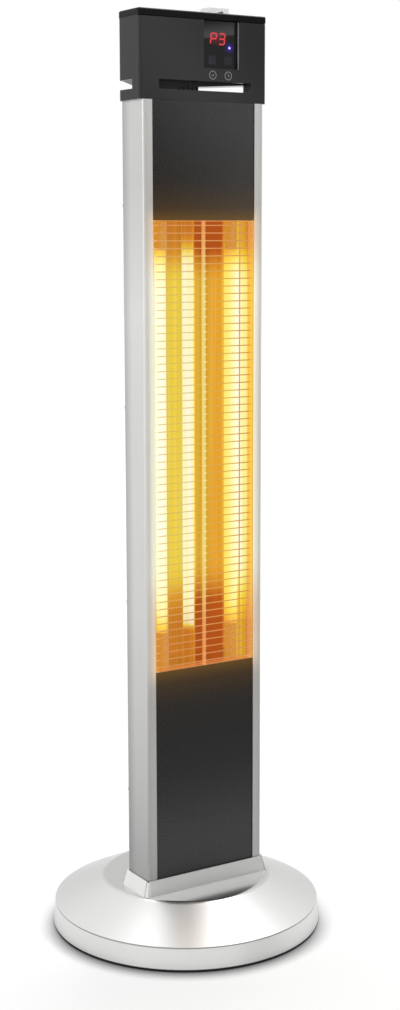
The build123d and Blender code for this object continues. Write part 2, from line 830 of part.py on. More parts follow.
# Leads inside the column.
lead_y = cover_inner - terminal_depth / 2
terminal_mid = (terminal_low + terminal_high) / 2


def lay_lead(points, radius):
    """Round lead in the active part, along straight runs joined by arcs as wide as the runs allow."""
    corners = [Vector(point) for point in points]
    bends = []
    for before, corner, after in zip(corners, corners[1:], corners[2:]):
        arriving = corner - before
        leaving = after - corner
        half_turn = radians(arriving.get_angle(leaving)) / 2
        bends.append(lead_bend_share * min(arriving.length, leaving.length) / tan(half_turn))
    with BuildLine() as route:
        FilletPolyline(*corners, radius=bends)
    with BuildSketch(Plane(origin=route.line @ 0, z_dir=route.line % 0)) as lead_section:
        Circle(radius)
    sweep(sections=lead_section.sketch, path=route.line)


with BuildPart() as supply_lead:
    lay_lead(
        [
            (0, cover_inner - gland_nut, gland_z),
            (0, cover_inner - gland_nut - supply_lead_run, gland_z),
            (0, cover_inner - gland_nut - supply_lead_run, gland_z + supply_lead_run),
            (0, lead_y, gland_z + 3 * supply_lead_run),
            (0, lead_y, terminal_low),
        ],
        supply_lead_radius,
    )
supply_lead.part.label = "supply_lead"
export_step(supply_lead.part, "parts/supply_lead.step")

with BuildPart() as element_leads_upper:
    for side in (-1, 1):
        lay_lead(
            [
                (side * tube_x, tube_y, tube_high),
                (side * tube_x, tube_y, upper_bracket_top + lead_rise),
                (side * tube_x, lead_y, terminal_mid),
                (side * terminal_length / 2, lead_y, terminal_mid),
            ],
            element_lead_radius,
        )
element_leads_upper.part.label = "element_leads_upper"
export_step(element_leads_upper.part, "parts/element_leads_upper.step")

return_x = trough_half_width + lead_clearance
return_y = trough_y + lead_clearance
return_low = reflector_low - lead_drop
return_high = terminal_low + terminal_height / 4
with BuildPart() as element_leads_lower:
    for side in (-1, 1):
        lay_lead(
            [
                (side * tube_x, tube_y, tube_low),
                (side * tube_x, tube_y, return_low),
                (side * return_x, return_y, return_low),
                (side * return_x, return_y, return_high),
                (side * terminal_length / 2, return_y, return_high),
            ],
            element_lead_radius,
        )
element_leads_lower.part.label = "element_leads_lower"
export_step(element_leads_lower.part, "parts/element_leads_lower.step")

# ================================================================== control head
head_half_width = half_width + head_overhang
head_front = column_front + head_front_set
head_back = column_back - head_back_set
casing_front = head_front + fascia_thickness
lid_bottom = head_top - lid_height
gap_bottom = column_top + gap_rise
gap_top = gap_bottom + gap_height
pillar_back = head_front + pillar_depth
neck_front = pillar_back + neck_set
neck_mid = neck_front + neck_depth / 2
compartment_floor = gap_top + floor_plate
hull_edge = head_half_width - hull_inset
head_span = (-head_half_width, head_half_width)
inside_span = (-head_half_width + head_wall, head_half_width - head_wall)
recess_back = head_front + recess_depth
lens_back = recess_back + lens_thickness
board_front = lens_back + module_depth
board_back = board_front + board_thickness
board_low = column_top + board_rise
post_spots = [
    (x, z)
    for x in (board_left + post_inset, board_right - post_inset)
    for z in (board_low + post_inset, board_low + board_height - post_inset)
]
head_screw_spots = [
    (sx * head_screw_x, column_mid + sy * head_screw_row / 2) for sx in (-1, 1) for sy in (-1, 1)
]

# Plate across the top of the column, which the head is screwed to.
with BuildPart() as head_mount_plate:
    span_box(
        (inside_span[0] + slip, inside_span[1] - slip),
        (casing_front + slip, head_back - head_wall - slip),
        (column_top, column_top + mount_plate),
    )
    with Locations(*[(x, y, column_top) for x, y in port_spots]):
        Cylinder(port_hole_radius + snug, mount_plate, align=BASE, mode=Mode.SUBTRACT)
    with Locations(*[(x, y, column_top) for x, y in head_screw_spots]):
        Cylinder(head_screw_radius + snug, mount_plate, align=BASE, mode=Mode.SUBTRACT)
    span_box(
        (neck_left + neck_wall, neck_right - neck_wall),
        (neck_front + neck_wall, neck_front + neck_depth - neck_wall),
        (column_top, column_top + mount_plate),
        mode=Mode.SUBTRACT,
    )
head_mount_plate.part.label = "head_mount_plate"
export_step(head_mount_plate.part, "parts/head_mount_plate.step")

# Screws at both ends of the column, into the ports of the profiles.
port_screw = pan_head_screw(port_hole_radius, port_screw_length)
foot_screw_seat = plateau_height + screw_head_height
with BuildPart() as port_screws:
    with Locations(*[Location((x, y, foot_screw_seat), (HALF_TURN, 0, 0)) for x, y in port_spots]):
        add(port_screw)
    with Locations(*[(x, y, column_top + mount_plate) for x, y in port_spots]):
        add(port_screw)
port_screws.part.label = "port_screws"
export_step(port_screws.part, "parts/port_screws.step")

head_screw = pan_head_screw(head_screw_radius, mount_plate + head_screw_grip)
with BuildPart() as head_screws:
    with Locations(*[Location((x, y, column_top), (HALF_TURN, 0, 0)) for x, y in head_screw_spots]):
        add(head_screw)
head_screws.part.label = "head_screws"
export_step(head_screws.part, "parts/head_screws.step")

# Moulded casing: a skirt over the column's end, the open cooling gap with its cable neck,
# and the compartment for the electronics, whose floor slopes down to the neck from both sides.
skirt_roof = gap_bottom - floor_plate
boss_height = skirt_roof - column_top - mount_plate
with BuildPart() as head_casing:
    with BuildSketch(Plane.XY.offset(column_top)) as casing_outline:
        span_rectangle(head_span, (casing_front, head_back))
        round_corners(
            casing_outline, [(-head_half_width, head_back), (head_half_width, head_back)], head_corner
        )
    extrude(amount=lid_bottom - column_top)
    for hollow_span in ((column_top, skirt_roof), (compartment_floor, lid_bottom)):
        span_box(inside_span, (casing_front, head_back - head_wall), hollow_span, mode=Mode.SUBTRACT)
    with BuildSketch(Plane.XY.offset(gap_bottom)):
        span_rectangle(head_span, (pillar_back, head_back))
        span_rectangle((slot_left, slot_right), (casing_front, head_back))
        span_rectangle((neck_left, neck_right), (neck_front, neck_front + neck_depth), mode=Mode.SUBTRACT)
    extrude(amount=gap_height, mode=Mode.SUBTRACT)
    for level, front, back, mode in (
        (gap_top, pillar_back, head_back, Mode.ADD),
        (compartment_floor, pillar_back + head_wall, head_back - head_wall, Mode.SUBTRACT),
    ):
        with BuildSketch(Plane.XZ.offset(-front)):
            with BuildLine():
                Polyline(
                    (-hull_edge, level),
                    (neck_left, level - hull_drop_left),
                    (neck_right, level - hull_drop_right),
                    (hull_edge, level),
                    close=True,
                )
            make_face()
        extrude(amount=front - back, mode=mode)
    for index in range(neck_rib_count):
        rib_x = neck_right - neck_rib - index * (neck_right - neck_left) / 2 / neck_rib_count
        rib_depth = (neck_front - neck_rib, neck_front + neck_wall)
        span_box((rib_x - neck_rib, rib_x), rib_depth, (gap_bottom, gap_top))
    with Locations(*[(x, y, skirt_roof) for x, y in head_screw_spots]):
        Cylinder(head_boss_radius, boss_height, align=TOP)
        Cylinder(head_screw_radius + snug, boss_height, align=TOP, mode=Mode.SUBTRACT)
    with BuildSketch(Plane.XZ.offset(-board_back)):
        with Locations(*post_spots):
            Circle(post_radius)
    extrude(amount=-(head_back - head_wall / 2 - board_back))
    with BuildSketch(Plane.XZ.offset(-board_back)):
        with Locations(*post_spots):
            Circle(board_screw_radius + snug)
    extrude(amount=-board_screw_length, mode=Mode.SUBTRACT)
    span_box(
        (neck_left + neck_wall, neck_right - neck_wall),
        (neck_front + neck_wall, neck_front + neck_depth - neck_wall),
        (skirt_roof, compartment_floor),
        mode=Mode.SUBTRACT,
    )
head_casing.part.label = "head_casing"
export_step(head_casing.part, "parts/head_casing.step")

# Front of the head, with the cooling slot and the recess of the display.
recess_low = column_top + recess_rise
recess_span = (recess_left, recess_left + recess_width)
with BuildPart() as head_fascia:
    span_box(head_span, (head_front, casing_front), (column_top, lid_bottom - seam))
    front_edges = head_fascia.faces().sort_by(Axis.Y)[0].edges().filter_by(Axis.Z)
    fillet(front_edges, fascia_round)
    span_box(
        (recess_span[0] - recess_wall, recess_span[1] + recess_wall),
        (casing_front, recess_back),
        (recess_low - recess_wall, lid_bottom - seam),
    )
    span_box(recess_span, (head_front, recess_back), (recess_low, lid_bottom - seam), mode=Mode.SUBTRACT)
    span_box((slot_left, slot_right), (head_front, casing_front), (gap_bottom, gap_top), mode=Mode.SUBTRACT)
head_fascia.part.label = "head_fascia"
export_step(head_fascia.part, "parts/head_fascia.step")

# Smoked lens over the display, and what shines through it.
with BuildPart() as display_lens:
    span_box(
        (recess_span[0] - recess_wall, recess_span[1] + recess_wall),
        (recess_back, lens_back),
        (recess_low - recess_wall, lid_bottom - seam),
    )
display_lens.part.label = "display_lens"
export_step(display_lens.part, "parts/display_lens.step")

with BuildPart() as display_module:
    span_box(
        (module_x - module_width / 2, module_x + module_width / 2),
        (lens_back, board_front),
        (column_top + module_rise - module_height / 2, column_top + module_rise + module_height / 2),
    )
display_module.part.label = "display_module"
export_step(display_module.part, "parts/display_module.step")

with BuildPart() as indicator_lamp:
    with Locations(
        Location((digit_indicator_x, lens_back, column_top + digit_indicator_rise), (-QUARTER_TURN, 0, 0))
    ):
        Cylinder(digit_indicator_radius, board_front - lens_back, align=BASE)
indicator_lamp.part.label = "indicator_lamp"
export_step(indicator_lamp.part, "parts/indicator_lamp.step")

for field_name, field_x in (("heat", field_left_x), ("timer", field_right_x)):
    with BuildPart() as light_field:
        span_box(
            (field_x - field_size / 2, field_x + field_size / 2),
            (lens_back, board_front),
            (column_top + field_rise - field_size / 2, column_top + field_rise + field_size / 2),
        )
    light_field.part.label = f"light_field_{field_name}"
    export_step(light_field.part, f"parts/light_field_{field_name}.step")

with BuildPart() as remote_sensor:
    span_box(
        (sensor_x - sensor_size / 2, sensor_x + sensor_size / 2),
        (lens_back, board_front),
        (column_top + sensor_rise - sensor_size / 2, column_top + sensor_rise + sensor_size / 2),
    )
remote_sensor.part.label = "remote_sensor"
export_step(remote_sensor.part, "parts/remote_sensor.step")

# Touch pads that press on the back of the fascia, under their printed rings.
for key_name, key_x in (("power", key_left_x), ("timer", key_right_x)):
    with BuildPart() as touch_pad:
        with Locations(Location((key_x, casing_front, column_top + key_rise), (-QUARTER_TURN, 0, 0))):
            Cylinder(key_radius, board_front - casing_front, align=BASE)
    touch_pad.part.label = f"touch_pad_{key_name}"
    export_step(touch_pad.part, f"parts/touch_pad_{key_name}.step")

with BuildPart() as control_board:
    span_box((board_left, board_right), (board_front, board_back), (board_low, board_low + board_height))
    with BuildSketch(Plane.XZ.offset(-board_front)):
        with Locations(*post_spots):
            Circle(board_screw_radius + snug)
    extrude(amount=-board_thickness, mode=Mode.SUBTRACT)
control_board.part.label = "control_board"
export_step(control_board.part, "parts/control_board.step")

board_screw = pan_head_screw(board_screw_radius, board_thickness + board_screw_length)
with BuildPart() as board_screws:
    with Locations(*[Location((x, board_front, z), (QUARTER_TURN, 0, 0)) for x, z in post_spots]):
        add(board_screw)
board_screws.part.label = "board_screws"
export_step(board_screws.part, "parts/board_screws.step")

relay_z = board_low + board_height / 2
relay_xs = (board_left + relay_inset, board_left + relay_inset + relay_pitch)
with BuildPart() as power_relays:
    for relay_x in relay_xs:
        span_box(
            (relay_x - relay_length / 2, relay_x + relay_length / 2),
            (board_back, board_back + relay_depth),
            (relay_z - relay_height / 2, relay_z + relay_height / 2),
        )
    fillet(power_relays.edges().filter_by(Axis.Y), relay_round)
power_relays.part.label = "power_relays"
export_step(power_relays.part, "parts/power_relays.step")

# Lead from the terminal block up through the neck to the relays.
with BuildPart() as control_lead:
    with Locations((control_lead_x, neck_mid, terminal_high)):
        Cylinder(control_lead_radius, relay_z - relay_height / 2 - terminal_high, align=BASE)
control_lead.part.label = "control_lead"
export_step(control_lead.part, "parts/control_lead.step")

# Lid with the mains switch.
lid_half_width = head_half_width + lid_overhang
lid_front = head_front - lid_overhang
lid_back = head_back + lid_overhang
with BuildPart() as head_lid:
    with BuildSketch(Plane.XY.offset(lid_bottom)) as lid_outline:
        span_rectangle((-lid_half_width, lid_half_width), (lid_front, lid_back))
        for end, radius in ((lid_back, head_corner), (lid_front, fascia_round)):
            round_corners(lid_outline, [(-lid_half_width, end), (lid_half_width, end)], radius)
    extrude(amount=lid_height)
    chamfer(head_lid.edges().group_by(Axis.Z)[-1], lid_chamfer)
    span_box(
        (-lid_half_width + lid_wall, lid_half_width - lid_wall),
        (lid_front + lid_wall, lid_back - lid_wall),
        (lid_bottom, head_top - lid_wall),
        mode=Mode.SUBTRACT,
    )
    with Locations((switch_x, switch_y, head_top)):
        Box(switch_body_length + slip, switch_body_width + slip, lid_wall, align=TOP, mode=Mode.SUBTRACT)
head_lid.part.label = "head_lid"
export_step(head_lid.part, "parts/head_lid.step")

pivot_z = head_top + rocker_pivot_rise
rocker_reach = rocker_length / 2
pocket_half = rocker_reach + rocker_travel_clear
with BuildPart() as switch_body:
    with Locations((switch_x, switch_y, head_top)):
        Box(bezel_length, bezel_width, bezel_height, align=BASE)
        Box(switch_body_length, switch_body_width, switch_body_depth, align=TOP)
    chamfer(switch_body.edges().group_by(Axis.Z)[-1], bezel_chamfer)
    span_box(
        (switch_x - pocket_half, switch_x + pocket_half),
        (switch_y - rocker_width / 2 - slip, switch_y + rocker_width / 2 + slip),
        (pivot_z - pocket_half, head_top + bezel_height),
        mode=Mode.SUBTRACT,
    )
    with Locations(Location((switch_x, switch_y, pivot_z), (QUARTER_TURN, 0, 0))):
        Cylinder(trunnion_radius + snug, rocker_width + 2 * trunnion_reach + slip, mode=Mode.SUBTRACT)
switch_body.part.label = "switch_body"
export_step(switch_body.part, "parts/switch_body.step")

# Rocker: a shallow V on a round belly about its pivot, shown pressed down at its left end.
end_rise = rocker_rise + rocker_reach * tan(radians(rocker_tilt))
with BuildPart() as switch_rocker:
    with BuildSketch(Plane(origin=(switch_x, switch_y, pivot_z), x_dir=(1, 0, 0), z_dir=(0, -1, 0))):
        Circle(rocker_reach)
        with Locations((0, rocker_reach)):
            Rectangle(2 * rocker_reach, 2 * rocker_reach, mode=Mode.SUBTRACT)
        with BuildLine():
            Polyline(
                (-rocker_reach, 0),
                (-rocker_reach, end_rise),
                (0, rocker_rise),
                (rocker_reach, end_rise),
                (rocker_reach, 0),
                close=True,
            )
        make_face()
    extrude(amount=rocker_width / 2, both=True)
    with Locations(Location((switch_x, switch_y, pivot_z), (QUARTER_TURN, 0, 0))):
        Cylinder(trunnion_radius, rocker_width + 2 * trunnion_reach)
    pivot_axis = Axis((switch_x, switch_y, pivot_z), (0, 1, 0))
tilted_rocker = switch_rocker.part.rotate(pivot_axis, -rocker_tilt)
tilted_rocker.label = "switch_rocker"
export_step(tilted_rocker, "parts/switch_rocker.step")

# Clear boot that keeps splashes out of the switch.
with BuildPart() as switch_boot:
    with Locations((switch_x, switch_y, head_top)):
        Box(boot_length, boot_width, boot_height, align=BASE)
    fillet(switch_boot.edges().filter_by(Axis.Z), boot_round)
    fillet(switch_boot.edges().group_by(Axis.Z)[-1], boot_top_round)
    with BuildSketch(Plane.XY.offset(head_top)):
        with Locations((switch_x, switch_y)):
            RectangleRounded(
                boot_length - 2 * boot_wall, boot_width - 2 * boot_wall, boot_round - boot_wall
            )
    extrude(amount=boot_height - boot_wall, mode=Mode.SUBTRACT)
switch_boot.part.label = "switch_boot"
export_step(switch_boot.part, "parts/switch_boot.step")
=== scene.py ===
from math import cos, pi, radians, sin

import bmesh
import bpy
from bpy.props import FloatProperty, FloatVectorProperty, PointerProperty
from mathutils import Matrix, Vector


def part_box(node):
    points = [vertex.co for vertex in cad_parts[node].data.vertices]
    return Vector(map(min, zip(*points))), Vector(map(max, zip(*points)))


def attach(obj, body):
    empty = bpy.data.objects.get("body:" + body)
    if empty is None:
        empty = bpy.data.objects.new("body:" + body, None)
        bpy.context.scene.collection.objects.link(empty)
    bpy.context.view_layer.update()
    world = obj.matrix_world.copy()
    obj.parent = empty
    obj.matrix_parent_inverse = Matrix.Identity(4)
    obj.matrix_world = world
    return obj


bl_info = {
    "name": "Infrared Patio Heater Tower",
    "version": (1, 0, 0),
    "blender": (4, 5, 0),
    "location": "View3D > Sidebar > Heater Tower",
    "description": "Finishes, display marks and studio for an infrared patio heater tower",
    "category": "Object",
}

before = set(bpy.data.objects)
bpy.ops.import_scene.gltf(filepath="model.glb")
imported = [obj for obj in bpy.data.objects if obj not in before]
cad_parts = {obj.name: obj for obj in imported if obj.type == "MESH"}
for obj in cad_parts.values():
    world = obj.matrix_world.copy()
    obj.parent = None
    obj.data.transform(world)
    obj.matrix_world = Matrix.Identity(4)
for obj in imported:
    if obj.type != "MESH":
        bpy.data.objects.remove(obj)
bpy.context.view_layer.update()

MM = 0.001
BLACK = (0.0, 0.0, 0.0)
WHITE = (1.0, 1.0, 1.0)

# Height of the crease between the cone and the rim of the base.
CREASE = 27 * MM
# The figures stand this far above the middle of the display module.
FIGURES_UP = 2 * MM

# Nearly all of a grain's values lie between these two.
GRAIN_RANGE = (0.3, 0.7)
# Stretch of a grain that is the same along every axis, and of the clouds in what glows.
EVEN = (1.0, 1.0, 1.0)
CLOUDY = (1.0, 1.0, 0.4)

# Painted light on the reflector, standing for the tubes' light on it, from its left edge to its right one,
# in steps of X in mm, strength of the painted light, share that mirrors the room, and fall of the painted
# light past the tubes' ends.
REFLECTOR_PAINTED_LIGHT = (
    (-61.6, 0.82, 0.5, 0.4),
    (-28.0, 0.78, 0.2, 0.4),
    (-9.0, 0.74, 0.2, 0.4),
    (-8.0, 0.99, 0.3, 0.0),
    (-0.5, 0.98, 0.3, 0.0),
    (0.5, 0.67, 0.4, 0.5),
    (8.0, 0.65, 0.25, 0.55),
    (20.0, 0.57, 0.25, 0.55),
    (42.0, 0.57, 0.25, 0.45),
    (46.0, 0.75, 0.4, 0.25),
    (50.0, 0.99, 0.4, 0.3),
    (57.0, 1.0, 0.4, 0.3),
    (61.6, 0.88, 0.5, 0.3),
)
# The flank of the reflector's ridge that carries a painted reflection of a tube, by X in mm.
RIDGE_FLANK = ((-61.6, 0.0), (-8.624, 0.0), (-7.885, 1.0), (-0.616, 1.0), (0.0, 0.0), (61.6, 0.0))
# Painted glow of the grille's wires, standing for their reflection of the tubes behind them, by X in mm.
WIRE_PAINTED_GLOW = (
    *((-61.6, 0.97), (-58.0, 0.97), (-57.0, 0.92), (-49.0, 0.92), (-45.0, 0.78)),
    *((-31.0, 0.78), (-28.0, 0.92), (-15.0, 0.92), (-12.0, 0.68), (-3.5, 0.66)),
    *((-2.2, 0.82), (0.0, 0.84), (2.2, 0.90), (3.5, 0.64), (24.0, 0.62)),
    *((30.0, 0.72), (40.0, 0.60), (52.0, 0.50), (58.0, 0.50), (61.6, 0.66)),
)
# Heat of the tubes by X in mm: each is hottest on the side away from the other.
TUBE_HEAT = (
    *((-52.0, 0.99), (-44.0, 1.0), (-42.0, 0.97), (-37.5, 0.86)),
    *((37.5, 0.78), (41.5, 0.88), (45.5, 0.94), (49.0, 0.98), (52.0, 1.0)),
)
# Heat of the tubes from their foot to their top.
TUBE_LENGTH_HEAT = (
    *((0.0, 0.62), (0.03, 0.82), (0.06, 0.93), (0.12, 0.97), (0.25, 0.99)),
    *((0.6, 1.0), (0.9, 0.98), (0.955, 0.93), (0.98, 0.8), (1.0, 0.62)),
)

# Painted light and shade on the profiles: share of the aluminium's colour on their sides and front edges,
# by height from the foot of the column to its top.
SIDE_LEVEL = (
    *((0.0, 0.48), (0.05, 0.54), (0.12, 0.65), (0.25, 0.80), (0.38, 0.93)),
    *((0.52, 1.0), (0.74, 1.0), (0.83, 0.85), (0.9, 0.75), (1.0, 0.75)),
)
FRONT_LEVEL = ((0.0, 0.54), (0.25, 0.62), (0.32, 0.78), (0.8, 0.78), (0.86, 0.7), (1.0, 0.7))
# Painted shade on the panels: share of their palest grey by height in mm, and on the upper one from left to
# right.
PANEL_LEVEL = (
    *((57.0, 0.89), (105.0, 0.97), (126.0, 0.84), (159.0, 0.51), (191.0, 0.27), (224.0, 0.21)),
    *((305.0, 0.21), (787.0, 0.33), (840.0, 0.45), (863.0, 0.56), (910.0, 0.80)),
)
PANEL_SWEEP = ((0.0, 0.4), (0.5, 0.667), (1.0, 1.0))
# Painted warm light of the window on the panels: from and to how many mm past the window, and how strong.
PANEL_SPILL = ((-6, 16, 0.075), (0, 45, 0.034), (0, 90, 0.011))

# Lamps by name, setting that holds the power, place, spot that they look at, and size.
LAMPS = (
    ("key_lamp", "key", (1.0, 0.45, 2.7), (0.0, 0.0, 0.1), 1.2),
    ("back_lamp", "back", (0.25, 0.8, 2.9), (0.0, 0.0, 0.1), 1.3),
    ("side_lamp", "fill", (-1.9, -0.8, 1.4), (0.0, 0.0, 0.9), 0.9),
)
# The floor reaches this far on each side, in metres.
FLOOR_REACH = 12.0
# Place and half width of the card, and how far it stands above its grey part.
CARD_PLACE = (0.545, -0.89, 0.0)
CARD_HALF = 0.3
CARD_ABOVE = 80 * MM


def screen_colour(red, green, blue):
    """Scene-linear colour of a 0 to 255 screen colour."""
    levels = (value / 255 for value in (red, green, blue))
    return tuple(v / 12.92 if v <= 0.04045 else ((v + 0.055) / 1.055) ** 2.4 for v in levels)


def colour_property(name, description, red, green, blue):
    """Colour setting with its default given as a screen colour."""
    default = screen_colour(red, green, blue)
    return FloatVectorProperty(
        name=name, description=description, subtype="COLOR", min=0.0, max=1.0, default=default
    )


def length_property(name, description, millimetres):
    """Length setting with its default in millimetres."""
    return FloatProperty(
        name=name, description=description, unit="LENGTH", min=0.0, default=millimetres * MM
    )


def angle_property(name, description, degrees):
    """Angle setting with its default in degrees."""
    return FloatProperty(name=name, description=description, subtype="ANGLE", default=radians(degrees))


def power_property(name, watts):
    """Power of a lamp."""
    description = "Power of the " + name.lower()
    return FloatProperty(name=name, description=description, unit="POWER", default=watts)


def level_property(name, description, default):
    """Brightness setting that starts at 0."""
    return FloatProperty(name=name, description=description, min=0.0, default=default)


# ---- settings
class HeaterColours(bpy.types.PropertyGroup):
    """Colours of the heater's finishes."""

    steel: colour_property("Steel", "Spun and brushed stainless steel", 232, 232, 231)
    aluminium: colour_property("Aluminium", "Satin anodised side profiles", 246, 246, 245)
    panel: colour_property("Panel", "Powder-coated front panels at their palest", 80.35, 80.35, 80.35)
    rear: colour_property("Rear cover", "Powder-coated back of the column", 46, 46, 46)
    head: colour_property("Head", "Moulded casing of the head", 44, 44, 44)
    fascia: colour_property("Fascia", "Satin front of the head", 42, 42, 42)
    lid: colour_property("Lid", "Lid of the head", 8, 8, 8)
    lens: colour_property("Lens", "Smoked display window", 6, 6, 7)
    marks: colour_property("Marks", "Printed rings and symbols", 172, 172, 168)
    digits: colour_property("Digits", "Lit digits", 235, 60, 72)
    lamp: colour_property("Lamp", "Lit timer lamp", 205, 180, 255)
    heat_core: colour_property("Heat core", "Glow at full heat", 252, 251, 238)
    heat_pale: colour_property("Heat pale", "Glow just below full heat", 252, 246, 175)
    heat_gold: colour_property("Heat gold", "Glow at three quarters of the heat", 245, 217, 76)
    heat_amber: colour_property("Heat amber", "Glow at half heat", 230, 164, 54)
    heat_ember: colour_property("Heat ember", "Faintest glow", 186, 90, 32)
    ceramic: colour_property("Ceramic", "Steatite end caps, browned by the heat", 112, 92, 68)


class HeaterGlow(bpy.types.PropertyGroup):
    """Strength of what shines, and of the painted light on the reflector, the grille and round the window.
    """

    tube: level_property("Tube", "Emission of the quartz tubes", 1.0)
    ribbon: level_property("Ribbon", "Emission of the carbon ribbons", 1.05)
    reflector: level_property("Reflector", "Light on the reflector", 1.0)
    grille: level_property("Grille", "Light on the grille", 0.5)
    spill: level_property("Spill", "Warm light round the window", 1.0)
    digits: level_property("Digits", "Emission of the digits", 0.7)
    lamp: level_property("Lamp", "Emission of the timer lamp", 1.4)


class HeaterMarks(bpy.types.PropertyGroup):
    """Sizes of the printed and lit marks."""

    ring_radius: length_property("Ring radius", "Outer radius of the rings round the keys", 4.4)
    ring_line: length_property("Ring line", "Line width of the rings and symbols", 0.62)
    print_height: length_property("Print height", "How far a mark stands off its surface", 0.05)
    digit_height: length_property("Digit height", "Height of the two display figures", 10.8)
    digit_width: length_property("Digit width", "Width of a display figure", 6.6)
    digit_line: length_property("Digit line", "Width of a lit segment", 1.6)
    digit_slant: angle_property("Slant", "Lean of the figures", 6)


class StudioSettings(bpy.types.PropertyGroup):
    """Camera, lamps and floor of the studio."""

    camera_place: FloatVectorProperty(
        name="Camera place",
        description="Where the camera stands",
        subtype="TRANSLATION",
        unit="LENGTH",
        default=(-0.9576, -1.55963, 0.77541),
    )
    heading: angle_property("Heading", "Turn from looking along +Y", 32.08)
    pitch: angle_property("Pitch", "Tilt upwards", -9.23)
    roll: angle_property("Roll", "Roll of the camera", -0.13)
    focal_length: FloatProperty(
        name="Focal length", description="On a 36 mm long side", subtype="DISTANCE_CAMERA", default=59.86
    )
    sky: level_property("Sky", "Light of the room", 0.5)
    wall: FloatProperty(name="Wall", description="Wall seen in reflections", min=0.0, max=1.0, default=0.76)
    veil: level_property("Veil", "White added to the floor", 0.26)
    contact: length_property("Contact shade", "How far the shade beside the base reaches", 24)
    card: level_property("Card", "Brightness of the grey card", 0.3)
    band: level_property("Band", "Bright band of the card", 3.0)
    card_top: length_property("Card top", "Upper edge of the grey card", 1086)
    key: power_property("Top lamp", 17.0)
    back: power_property("Back lamp", 11.0)
    fill: power_property("Side lamp", 6.0)
    floor_colour: colour_property("Floor", "Pale floor", 250, 250, 250)


# ---- node helpers
def feed(node, name, value):
    """Set an input of a node, or link it when the value is a node's output."""
    socket = node.inputs[name]
    if isinstance(value, bpy.types.NodeSocket):
        node.id_data.links.new(value, socket)
    elif socket.type == "RGBA":
        socket.default_value = (*value, 1.0)
    else:
        socket.default_value = value


def linked(node, name):
    """What an input of a node is linked to."""
    return node.inputs[name].links[0].from_socket


def add_node(tree, kind, inputs, **settings):
    """New node of a tree, with its settings and its inputs."""
    node = tree.nodes.new("ShaderNode" + kind)
    for setting, value in settings.items():
        setattr(node, setting, value)
    for name, value in inputs.items():
        feed(node, name, value)
    return node


def new_finish(name, colour, roughness, metallic=0.0):
    """Material with one Principled shader, that shader, and the tree that holds it."""
    material = bpy.data.materials.new(name)
    material.use_nodes = True
    tree = material.node_tree
    shader = tree.nodes["Principled BSDF"]
    feed(shader, "Base Color", colour)
    feed(shader, "Roughness", roughness)
    feed(shader, "Metallic", metallic)
    return material, shader, tree


def worked_out(operation, first, *others):
    """Result of an operation on a socket and on others or numbers."""
    inputs = dict(enumerate((first, *others)))
    return add_node(first.id_data, "Math", inputs, operation=operation).outputs["Value"]


def times(first, *others):
    """Product of a socket and of others or numbers."""
    for other in others:
        first = worked_out("MULTIPLY", first, other)
    return first


def sum_of(first, *others):
    """Sum of a socket and of others or numbers."""
    for other in others:
        first = worked_out("ADD", first, other)
    return first


def own_place(tree):
    """The piece's own coordinates, in metres."""
    return add_node(tree, "TexCoord", {}).outputs["Object"]


def coordinate(tree, axis):
    """One of the piece's own coordinates, in metres."""
    return add_node(tree, "SeparateXYZ", {"Vector": own_place(tree)}).outputs[axis]


def normal_part(tree, axis):
    """One component of the direction that the surface faces."""
    normal = add_node(tree, "NewGeometry", {}).outputs["True Normal"]
    return add_node(tree, "SeparateXYZ", {"Vector": normal}).outputs[axis]


def distance(vector):
    """Length of a vector."""
    return add_node(vector.id_data, "VectorMath", {0: vector}, operation="LENGTH").outputs["Value"]


def part_along(vector, direction):
    """How far a vector goes along a direction."""
    inputs = {0: vector, 1: direction}
    return add_node(vector.id_data, "VectorMath", inputs, operation="DOT_PRODUCT").outputs["Value"]


def slope(value, start, end, low=0.0, high=1.0, **settings):
    """Straight ramp of a value from low to high."""
    inputs = {"Value": value, "From Min": start, "From Max": end, "To Min": low, "To Max": high}
    return add_node(value.id_data, "MapRange", inputs, **settings).outputs["Result"]


def rise(value, start, end, low=0.0, high=1.0):
    """Smooth step of a value from low to high."""
    return slope(value, start, end, low, high, interpolation_type="SMOOTHSTEP")


def fall(value, start, end, low=0.0):
    """Smooth step of a value from 1 down to low."""
    return rise(value, start, end, 1.0, low)


def faces_low(tree, axis):
    """1 on the faces that look towards the low end of an axis."""
    return fall(normal_part(tree, axis), -0.8, -0.6)


def colour_ramp(value, stops):
    """Colour that follows a value through (place, colour) stops."""
    ramp = add_node(value.id_data, "ValToRGB", {"Fac": value})
    elements = ramp.color_ramp.elements
    while len(elements) < len(stops):
        elements.new(1.0)
    for element, (place, colour) in zip(elements, stops):
        element.position = place
        element.color = (*colour, 1.0)
    return ramp.outputs["Color"]


def number_ramp(value, stops):
    """Number that follows a value through (place, number) stops."""
    return colour_ramp(value, [(place, (level, level, level)) for place, level in stops])


def level_along(tree, axis, steps):
    """Number that follows a coordinate of the piece through (millimetres, number) steps."""
    start, end = steps[0][0], steps[-1][0]
    share = slope(coordinate(tree, axis), start * MM, end * MM)
    return number_ramp(share, [((place - start) / (end - start), level) for place, level in steps])


def mixed(factor, first, second):
    """Mix of two colours, each a socket or a colour."""
    inputs = {"Factor": factor, 6: first, 7: second}
    return add_node(factor.id_data, "Mix", inputs, data_type="RGBA").outputs[2]


def grain(tree, scale, detail, stretch):
    """Noise laid through the piece, scaled along each of its axes."""
    mapping = add_node(tree, "Mapping", {"Vector": own_place(tree), "Scale": stretch})
    inputs = {"Vector": mapping.outputs["Vector"], "Scale": scale, "Detail": detail}
    return add_node(tree, "TexNoise", inputs).outputs["Fac"]


def turned_grain(tree, lines, detail):
    """Fine rings round the upright axis, as a lathe leaves them."""
    level = add_node(tree, "CombineXYZ", {axis: coordinate(tree, axis) for axis in "XY"})
    reach = distance(level.outputs["Vector"])
    along = worked_out("SUBTRACT", reach, coordinate(tree, "Z"))
    inputs = {"W": along, "Scale": lines, "Detail": detail}
    return add_node(tree, "TexNoise", inputs, noise_dimensions="1D").outputs["Fac"]


